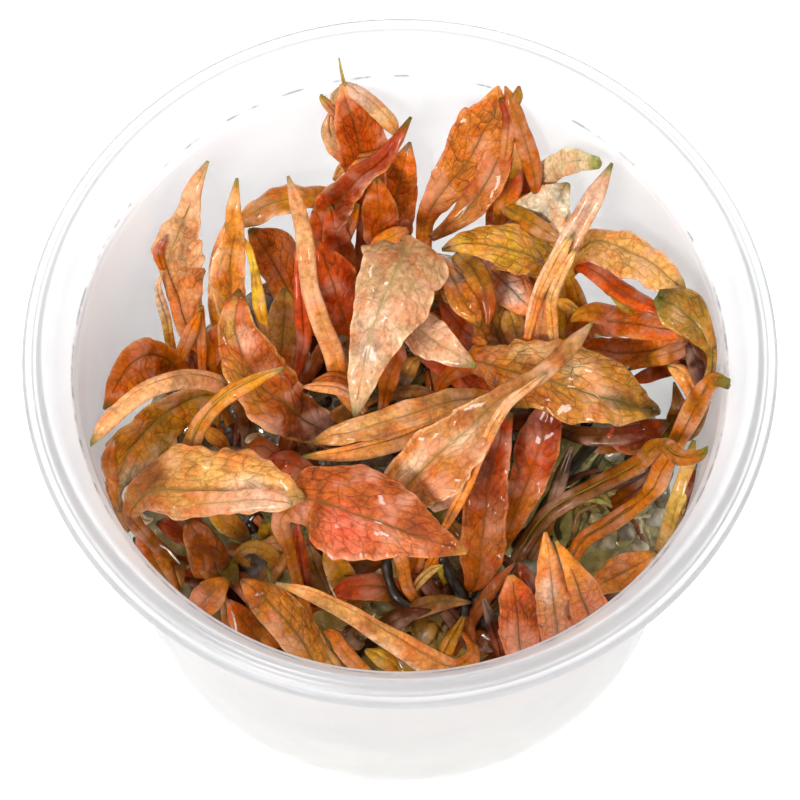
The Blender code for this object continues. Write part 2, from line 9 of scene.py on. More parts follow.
import bpy
import numpy as np
from bpy.props import FloatProperty, FloatVectorProperty, IntProperty, PointerProperty
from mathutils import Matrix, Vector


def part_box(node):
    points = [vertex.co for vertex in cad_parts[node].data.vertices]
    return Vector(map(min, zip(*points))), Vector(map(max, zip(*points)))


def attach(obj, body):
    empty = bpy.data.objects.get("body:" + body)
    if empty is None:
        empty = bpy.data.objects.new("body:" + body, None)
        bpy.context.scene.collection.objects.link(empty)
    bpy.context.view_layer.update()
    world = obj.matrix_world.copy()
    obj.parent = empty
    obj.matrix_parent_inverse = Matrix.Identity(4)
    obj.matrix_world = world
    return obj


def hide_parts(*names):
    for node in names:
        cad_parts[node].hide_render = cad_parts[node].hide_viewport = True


bl_info = {
    "name": "Water Trumpet Culture Cup",
    "version": (1, 0, 0),
    "blender": (4, 5, 0),
    "location": "View3D > Sidebar > Water Trumpet",
    "description": "Adds a culture cup with gel and leafy water trumpet plantlets",
    "category": "Add Mesh",
}

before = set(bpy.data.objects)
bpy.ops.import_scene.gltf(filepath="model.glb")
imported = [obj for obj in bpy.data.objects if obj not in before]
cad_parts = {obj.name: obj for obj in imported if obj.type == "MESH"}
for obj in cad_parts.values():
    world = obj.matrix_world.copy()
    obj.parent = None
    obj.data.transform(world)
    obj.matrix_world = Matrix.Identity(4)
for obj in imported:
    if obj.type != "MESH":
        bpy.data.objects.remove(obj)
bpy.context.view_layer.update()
CUP_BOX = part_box("cup")
GEL_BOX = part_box("culture_gel")
CROWN_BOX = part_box("crown_front")

MM = 0.001
PICTURE_SIZE = 800.0
SENSOR = 36.0

# Cup and gel: radii, heights and steps in metres, which the turned sections follow. Each
# section starts and ends AXIS_RADIUS from the axis, and a fan closes it
CUP_HEIGHT = float(CUP_BOX[1][2])
RIM_RADIUS = float(CUP_BOX[1][0])
GEL_FOOT = float(GEL_BOX[0][2])
CROWN_TOP = float(CROWN_BOX[1][2])
MOUTH_RADIUS = 0.0466
RIM_THICKNESS = 0.0025
RIM_STEP = 0.0007
SEAT_RADIUS = 0.04365
SEAT_DEPTH = 0.0061
WALL_TOP_RADIUS = 0.0429
WALL_TOP = 0.0632
WALL_FOOT_RADIUS = 0.0375
WALL_FOOT = 0.0060
FOOT_RADIUS = 0.0364
FOOT_WIDTH = 0.0024
FOOT_HEIGHT = 0.0010
FLOOR_RISE = 0.0011
AXIS_RADIUS = 0.0005
SOFT_CORNER = 0.0005
SECTION_STEP = 0.0030
CREASE_WIDTH = 0.00022
GAP = 0.0003
GEL_LEVEL = 0.0198
GEL_CORNER = 0.0006
GEL_STEP = 0.0007
GEL_SIDES = 220
STAIN_AND_SHADE_EDGES = (0.0395, 0.0355)
STALK_FOOT = 0.0255
CROWN_RADIUS = 0.0021

# The leaf points are places in a picture of the plant with their real heights. Its eye
# stands VIEW_BACK in front of the cup's axis and VIEW_HEIGHT above its foot, looks down
# by VIEW_TILT, and sees a slope of one as VIEW_SCALE picture units
VIEW_TILT = math.radians(66.15)
VIEW_BACK = 0.2448
VIEW_HEIGHT = 0.6065
VIEW_SCALE = 4475.0
VIEW_CENTRE = 400.0
PICTURE_PER_MM = 7.1

# Leaves: gap from crown to stalk, half width of the stalk's foot and how deep it is rooted,
# then what a leaf's middle sheet keeps from the wall, and how fast the room widens above it
STALK_GAP = 0.0008
STALK_HALF_WIDTH = 0.0006
STALK_ROOT = 0.0012
WALL_SPARE = 0.0007
RIM_SLOPE = 0.6

# Gel top: waves as radians of phase per millimetre along X and Y, and the phase at the axis
LUMP_WAVES = ((0.42, 0.10, 0.3), (-0.17, 0.38, 1.9), (0.23, -0.51, 4.2))
CRUMB_WAVES = (
    (1.3, 0.6, 0.4), (-0.9, 1.4, 2.2), (0.7, -1.7, 1.1),
    (2.1, 0.3, 3.0), (-1.8, -1.2, 5.1), (0.2, 2.4, 0.9),
)

# Crowns: the place in the picture (across, down) where the stalks leave each one
CROWNS = {
    "front": (472, 612), "left": (238, 436), "centre": (405, 425), "back": (372, 318),
    "back_right": (500, 338), "right": (560, 400), "front_right": (552, 655), "front_left": (330, 672),
    "lower_left": (205, 560),
}

# Leaves: crown, tone, direction of the stalk's foot round the crown in degrees, lift of the left
# and the right margin for each unit of half width, look (skin, and the flesh colours of the near
# and the far half), and the stations from stalk to tip: place in the picture (across, down),
# height in mm, and half widths left and right in picture units, one number where both are alike.
# The flesh colours were set to each leaf's brightness where it stands, so with the leaf's own
# colour they hold painted light and shade: the darkest paint the shade deep in the cup
BLADES = {
    "rolled_tip": ("front", "orange", 185, (0.35, 0.25), ("peach", "#E5862C", "#9E6E3E"), (
        (425, 606, 26, 5), (410, 592, 29, 6), (402, 562, 34, 7), (394, 525, 41, 12, 14),
        (404, 492, 46, 24, 30), (430, 463, 51, 31, 40), (465, 432, 55, 24, 30), (500, 400, 58, 13, 12),
        (545, 371, 60, 9), (575, 342, 62, 8), (592, 323, 63, 1.5))),
    "salmon_front": ("front_left", "salmon", 112, (-0.1, -0.1), ("salmon", "#CF7813", "#AB5522"), (
        (300, 590, 30, 5), (289, 550, 39, 6), (282, 518, 46, 10), (300, 501, 50, 24, 32),
        (330, 505, 53, 42, 47), (365, 518, 54, 49, 46), (400, 530, 54, 38, 30), (440, 544, 53, 17, 14),
        (467, 553, 52, 1.5))),
    "pale_orange_left": ("lower_left", "cream", 180, (-0.15, 0.2), ("peach", "#A45E0D", "#DEA15A"), (
        (170, 556, 30, 6), (146, 535, 37, 7), (133, 512, 44, 10, 8), (152, 492, 49, 24, 22),
        (172, 491, 50, 43, 28), (210, 491, 51, 42, 24), (255, 496, 52, 42, 17), (285, 500, 53, 25, 10),
        (305, 499, 52, 1.5))),
    "olive_left": ("left", "olive", 215, (-0.5, 0.9), ("olive", "#BF8613", "#BF7A1F"), (
        (215, 395, 36, 9, 8), (178, 405, 41, 24, 13), (143, 433, 44, 32, 18), (122, 463, 46, 32, 20),
        (115, 489, 46, 8, 6), (119, 512, 45, 1.5))),
    "brown_left": ("left", "brown", 165, (-0.4, 0.3), ("ochre", "#CE6E09", "#C2630D"), (
        (196, 398, 31, 7), (170, 362, 38, 18, 13), (143, 356, 45, 26, 18), (119, 378, 50, 22, 11),
        (104, 409, 54, 1.5))),
    "pink_arc_spike": ("left", "pink", 285, (0.5, 0.5), ("rose", "#693C0D", "#E7A774"), (
        (243, 410, 40, 8), (229, 390, 48, 9), (208, 380, 52, 10, 9), (180, 379, 56, 10, 9),
        (153, 387, 59, 9), (128, 402, 61, 9, 8), (105, 424, 62.5, 8, 7), (89, 446, 63.5, 1.5))),
    "short_spike_left": ("lower_left", "cream", 100, (0.5, 0.5), ("rose", "#AC6C0D", "#C17D14"), (
        (196, 520, 29, 6), (188, 482, 37, 8), (190, 452, 44, 9), (198, 428, 50, 9), (212, 409, 55, 8),
        (232, 392, 59, 8), (257, 379, 60, 6), (284, 368, 60, 1.5))),
    "cupped_brown": ("centre", "brown", 225, (0.25, 0.1), ("ochre", "#3E160A", "#AC5410"), (
        (345, 440, 33, 12), (318, 428, 39, 18), (285, 405, 45, 32, 26), (256, 378, 49.5, 28, 34),
        (240, 350, 52, 22, 30), (235, 325, 53, 17, 20), (237, 305, 54, 12), (239, 289, 54, 1.5))),
    "tall_spear": ("left", "cream", 75, (0.5, 0.5), ("peach", "#925D0D", "#CF8934"), (
        (246, 380, 34, 7), (240, 340, 40, 10), (232, 300, 46, 18, 14), (231, 265, 51, 20, 14),
        (234, 235, 55.5, 10, 11), (235, 208, 59.5, 9, 6), (237, 178, 62, 1.5))),
    "veined_back_left": ("back", "orange", 200, (-0.2, -0.2), ("ochre", "#E07C2C", "#F08834"), (
        (318, 328, 31, 10), (294, 300, 35, 16, 18), (276, 268, 39, 17, 27), (262, 245, 43, 14, 26),
        (250, 229, 46, 3))),
    "arching_back_left": ("back", "orange", 130, (0.0, -0.4), ("peach", "#C87E14", "#B8730D"), (
        (344, 272, 33, 6), (338, 232, 40, 9), (326, 200, 46, 14), (302, 197, 49, 13, 12),
        (275, 203, 50, 14), (252, 215, 51, 12, 11), (237, 228, 51, 1.5))),
    "long_pink_spike": ("centre", "pink", 190, (0.6, 0.6), ("rose", "#E4891B", "#C79063"), (
        (358, 408, 34, 8), (341, 385, 40, 9), (333, 352, 47, 10), (320, 318, 52, 10, 9),
        (311, 288, 55, 9, 8), (307, 258, 58, 9, 8), (303, 228, 60, 8), (295, 198, 61, 6),
        (288, 176, 62, 1.5))),
    "veined_centre_left": ("back", "salmon", 235, (-0.2, -0.2), ("russet", "#CB520B", "#CB4F0C"), (
        (350, 330, 31, 9), (340, 305, 39, 20, 16), (330, 276, 45, 14, 25), (313, 238, 49, 1.5))),
    "hooded_back": ("back", "salmon", 95, (0.5, 0.3), ("salmon", "#DA895F", "#BC550D"), (
        (362, 266, 32, 7), (364, 225, 41, 8), (366, 190, 48, 16, 18), (362, 160, 53, 22, 26),
        (357, 135, 57.5, 22, 28), (350, 112, 61.5, 16, 22), (344, 96, 64, 8, 10), (341, 84, 65.5, 1.5))),
    "folded_spike_back": ("back", "red", 165, (0.2, 0.6), ("russet", "#C6550D", "#94380D"), (
        (328, 280, 33, 7), (322, 246, 40, 13, 14), (333, 210, 49, 20, 17), (360, 178, 57, 13, 12),
        (389, 151, 62, 8, 9), (411, 117, 66, 1.5))),
    "orange_flank_back": ("back", "red", 55, (-0.2, -0.2), ("russet", "#D06A1C", "#D87020"), (
        (385, 272, 32, 8), (393, 228, 40, 20), (398, 192, 45, 22, 19), (404, 165, 50, 14, 13),
        (410, 142, 53, 1.5))),
    "big_back_right": ("back", "salmon", 15, (0.3, -0.3), ("salmon", "#DA852E", "#CC792D"), (
        (421, 262, 34, 7), (427, 216, 43, 10), (448, 185, 50, 20, 22), (470, 158, 55, 28, 32),
        (484, 130, 60, 30, 28), (496, 108, 63.5, 20, 16), (498, 86, 66, 1.5))),
    "dark_fold_back_right": ("back_right", "brown", 105, (0.2, -0.3), ("russet", "#D0702C", "#D8701C"), (
        (500, 262, 32, 9), (503, 220, 39, 18), (514, 186, 46, 22), (525, 158, 53, 14, 12),
        (531, 142, 57, 1.5))),
    "pale_blunt_back_right": ("back_right", "pink", 25, (0.2, -0.2), ("pale", "#C08E3D", "#D6BF9E"), (
        (550, 262, 33, 7), (547, 226, 39, 8), (541, 200, 45, 9), (547, 175, 54, 14, 12),
        (570, 162, 60, 14, 12), (599, 163, 65, 6))),
    "pale_yellow": ("back_right", "cream", 65, (0.1, -0.2), ("pale", "#DDBE5A", "#E3DBCA"), (
        (526, 264, 33, 7), (519, 226, 43, 12), (536, 207, 47, 13, 15), (558, 216, 50, 14, 16),
        (573, 236, 51, 3))),
    "forked_spike": ("right", "cream", 198, (0.7, 0.7), ("rose", "#D57F0D", "#BD9886"), (
        (538, 352, 42, 13), (540, 325, 47, 15, 13), (548, 290, 53, 14, 12), (563, 256, 58, 12, 11),
        (578, 226, 61, 11, 10), (595, 195, 64, 9), (612, 163, 66, 1.5))),
    "broad_right_back": ("right", "orange", 75, (-0.1, 0.3), ("peach", "#E5B01D", "#D9A561"), (
        (560, 330, 38, 6), (564, 290, 44, 7), (572, 258, 49, 10, 12), (590, 243, 52, 13, 22),
        (615, 246, 55, 16, 26), (640, 257, 58, 17, 26), (662, 272, 60, 14, 20), (678, 286, 61, 8, 10),
        (686, 293, 61, 1.5))),
    "olive_blunt_right": ("right", "olive", 325, (0.2, 0.2), ("olive", "#AC690D", "#9A7125"), (
        (650, 428, 31, 5), (694, 430, 46, 6), (708, 388, 57, 7, 6), (711, 352, 61.5, 6, 7),
        (701, 330, 63, 17, 13), (685, 314, 64, 22, 26), (668, 301, 65, 17, 15), (657, 295, 65.3, 8, 6))),
    "large_veined_right": ("centre", "brown", 5, (-0.2, -0.25), ("ochre", "#BE5F0D", "#BA8333"), (
        (440, 402, 33, 5), (444, 381, 40, 7), (470, 363, 43.5, 12), (508, 371, 48, 30, 26),
        (550, 382, 51, 43, 32), (590, 394, 52, 42, 31), (628, 405, 51, 28, 20), (660, 413, 49, 2))),
    "salmon_small": ("back", "salmon", 280, (0.1, -0.3), ("rose", "#D0A893", "#D3A587"), (
        (404, 318, 44, 12), (430, 338, 49, 21), (455, 354, 50, 12, 14), (476, 367, 49, 1.5))),
    "brown_centre": ("front", "brown", 78, (-0.1, -0.1), ("russet", "#CB6014", "#CB5414"), (
        (486, 540, 27, 6), (494, 460, 31, 8), (484, 408, 34, 9, 18), (460, 380, 37, 9, 20),
        (432, 360, 39.5, 9, 12), (410, 348, 41, 2))),
    "folded_pair_centre": ("back_right", "orange", 180, (-0.2, 0.3), ("ochre", "#E0A05C", "#C67C28"), (
        (440, 262, 40, 8), (450, 275, 44, 10, 9), (458, 290, 46.5, 17, 14), (468, 308, 47.5, 16, 12),
        (480, 328, 46.5, 2))),
    "olive_midrib_back": ("back_right", "olive", 345, (-0.2, -0.3), ("ochre", "#BA7114", "#C3942D"), (
        (550, 308, 34, 8, 7), (559, 284, 41, 11, 10), (547, 266, 46, 15, 20), (522, 254, 50, 22, 29),
        (492, 245, 52, 18, 21), (466, 245, 52, 9, 14), (442, 250, 51, 1.5))),
    "glossy_patch": ("back_right", "salmon", 142, (-0.1, -0.2), ("ochre", "#D8702C", "#F09458"), (
        (478, 262, 38, 8), (496, 275, 43, 18), (515, 293, 44, 21, 20), (534, 314, 43, 6))),
    "glossy_right_upper": ("right", "brown", 38, (-0.2, -0.2), ("ochre", "#D88438", "#D06A18"), (
        (574, 322, 40, 10), (606, 322, 45, 15, 14), (640, 325, 49, 15, 14), (668, 331, 52, 10),
        (689, 338, 54, 1.5))),
    "glossy_right_middle": ("right", "brown", 0, (0.0, 0.2), ("ochre", "#CE6A14", "#E07C1C"), (
        (588, 350, 36, 10), (620, 354, 40, 16, 14), (655, 351, 44, 15, 12), (690, 345, 50, 3))),
    "hooked_spike_right": ("front", "cream", 16, (0.4, 0.4), ("rose", "#6E410D", "#A1610F"), (
        (520, 552, 27, 7), (548, 514, 31, 9), (600, 484, 36, 9), (640, 462, 44, 9), (656, 446, 50, 8),
        (666, 446, 53, 8), (681, 457, 57, 8), (697, 456, 59.5, 6), (710, 447, 62.3, 1.5))),
    "hooked_band_right": ("front_right", "cream", 78, (0.4, 0.4), ("peach", "#D77D0D", "#B06A17"), (
        (566, 572, 26, 6), (582, 542, 28, 8), (612, 522, 32, 9), (642, 500, 36, 8), (655, 484, 40, 10, 12),
        (664, 466, 44, 12, 10), (674, 446, 48, 9), (686, 424, 52, 11), (698, 402, 57, 12, 11),
        (708, 386, 62, 9), (717, 379, 65, 7, 8), (728, 383, 66.5, 5, 6))),
    "pale_wall_right": ("front_right", "cream", 12, (0.1, 0.3), ("pale", "#E7DFCF", "#B69444"), (
        (612, 625, 24.5, 5), (648, 580, 27, 6), (664, 545, 37, 8, 6), (677, 512, 43, 12, 7),
        (684, 480, 46, 8), (690, 458, 47.5, 6), (694, 440, 48.5, 2))),
    "brown_under_veined": ("right", "brown", 288, (0.0, 0.2), ("dark", "#956837", "#722F0D"), (
        (590, 442, 29, 9), (622, 440, 34, 13, 12), (652, 430, 39, 12), (668, 422, 42, 3))),
    "vertical_brown": ("front", "brown", 110, (0.2, 0.2), ("russet", "#BE670D", "#A5410D"), (
        (477, 582, 30, 13, 12), (480, 560, 33, 20, 22), (485, 520, 38, 23, 22), (489, 480, 42, 20),
        (500, 440, 46, 16, 12), (510, 412, 48, 4))),
    "red_orange_centre": ("front", "red", 47, (-0.2, -0.2), ("russet", "#C57C0D", "#B94B0D"), (
        (499, 552, 28, 6), (513, 520, 32, 11, 12), (531, 472, 38, 20), (543, 437, 42, 24, 19),
        (550, 412, 44, 14, 12), (556, 395, 45, 2))),
    "folded_front_right": ("front_right", "orange", 310, (0.0, -0.35), ("salmon", "#DA895F", "#D98942"), (
        (560, 652, 31, 14), (556, 622, 38, 18, 16), (552, 590, 45, 17, 15), (549, 562, 49, 12, 10),
        (545, 532, 52, 1.5))),
    "red_front_right": ("front_right", "red", 225, (0.1, -0.1), ("salmon", "#DA895F", "#DA6A22"), (
        (527, 668, 28, 10, 12), (519, 643, 33, 17, 20), (517, 610, 38, 19, 21), (513, 588, 41, 12, 14),
        (510, 575, 42, 3))),
    "brown_front_right": ("front_right", "brown", 42, (-0.1, -0.2), ("ochre", "#D88A38", "#DC8C3A"), (
        (592, 592, 29, 7), (615, 577, 32, 18, 15), (640, 564, 35, 14), (658, 554, 37, 4))),
    "orange_front_spike": ("front", "orange", 245, (0.5, 0.3), ("rose", "#E78E3D", "#E7A45F"), (
        (472, 645, 26, 6), (466, 664, 31, 10, 9), (446, 668, 36, 15, 12), (412, 650, 42, 14, 12),
        (375, 628, 46, 11, 9), (340, 608, 49, 8), (305, 592, 50.5, 6), (276, 583, 51, 1.5))),
    "brown_front_left": ("front_left", "brown", 200, (-0.2, -0.2), ("ochre", "#CE851A", "#CE7F23"), (
        (314, 664, 31, 14, 15), (302, 642, 35, 20, 22), (283, 617, 39, 20, 22), (262, 597, 41, 17, 18),
        (241, 580, 41, 2))),
    "orange_front_left": ("lower_left", "orange", 262, (0.0, 0.0), ("ochre", "#CE670D", "#CE750C"), (
        (196, 610, 26, 12), (207, 598, 30, 16), (219, 587, 33, 12), (229, 578, 34, 2))),
    "brown_lower_left": ("lower_left", "brown", 320, (-0.1, -0.1), ("dark", "#955621", "#953E09"), (
        (214, 548, 33, 10), (192, 533, 36, 15), (172, 527, 37, 12), (156, 523, 37, 2))),
    "orange_lower_left": ("lower_left", "orange", 222, (0.0, 0.0), ("russet", "#C34B0D", "#551C0C"), (
        (180, 577, 25, 8), (160, 565, 26, 12), (143, 549, 30, 8), (134, 538, 33, 2))),
    "back_left_spear": ("left", "salmon", 120, (0.2, 0.2), ("peach", "#E5850D", "#CB9C72"), (
        (211, 356, 35, 8), (190, 330, 40, 12, 16), (176, 300, 44, 8, 28), (168, 272, 48, 8, 38),
        (170, 255, 51, 20, 34), (177, 236, 54, 19, 26), (187, 213, 58, 11, 14), (196, 187, 61.5, 10, 7),
        (208, 161, 64, 1.5))),
    "narrow_left_pointing": ("right", "pink", 250, (0.1, 0.1), ("ochre", "#CE942A", "#B87E49"), (
        (545, 404, 30, 6), (510, 402, 38, 6), (482, 398, 45, 8), (460, 400, 49, 12),
        (430, 408, 52, 13, 14), (395, 419, 53, 13, 14), (360, 430, 54, 12, 13), (335, 437, 54, 9, 11),
        (312, 442, 53, 1.5))),
    "folded_left_pointing": ("centre", "orange", 320, (0.3, 0.3), ("rose", "#E7A963", "#E79B50"), (
        (462, 418, 40, 8), (437, 425, 44, 9), (405, 438, 47, 10), (370, 449, 49, 9), (335, 455, 49, 6, 7),
        (302, 457, 48, 1.5))),
    "central_pale": ("back", "pink", 325, (-0.15, -0.15), ("rose", "#AC7C4D", "#B89472"), (
        (418, 300, 40, -8), (412, 262, 48, -8), (404, 243, 53, -10), (404, 253, 55.5, 44, 38),
        (394, 276, 57.5, 46, 36), (381, 304, 58, 46, 28), (369, 345, 57, 28, 20), (360, 385, 54, 15, 12),
        (355, 418, 51, 1.5))),
}

# Leaves rolled up along their length, so thicker at the margins than an open blade
ROLLED = (
    "pink_arc_spike", "short_spike_left", "long_pink_spike", "forked_spike", "hooked_spike_right",
    "hooked_band_right", "orange_front_spike", "folded_left_pointing",
)

# Skins: colours of the margin, midrib, tip and veins, how strongly the midrib and the veins
# show, and how wet the skin shines
SKINS = {
    "peach": ("#F2BE96", "#7E6424", "#6A6A24", "#7E4420", 0.80, 0.60, 0.6),
    "rose": ("#F6CDB0", "#8E7A34", "#5F7020", "#A05A34", 0.70, 0.42, 0.5),
    "salmon": ("#E08A5C", "#5E441C", "#C08A3C", "#5C2410", 0.80, 0.80, 0.5),
    "russet": ("#D08248", "#6A4216", "#4E5A1C", "#4A1A08", 0.60, 0.65, 0.7),
    "ochre": ("#D09A58", "#50401A", "#5A5418", "#4C260C", 0.75, 0.78, 0.8),
    "olive": ("#C49850", "#5E6028", "#4A5018", "#4E3410", 0.75, 0.70, 0.7),
    "pale": ("#E6D2AC", "#958044", "#7A8A3C", "#9A7440", 0.45, 0.42, 0.6),
    "dark": ("#8E5420", "#3E220C", "#3A3410", "#301406", 0.50, 0.55, 0.9),
}
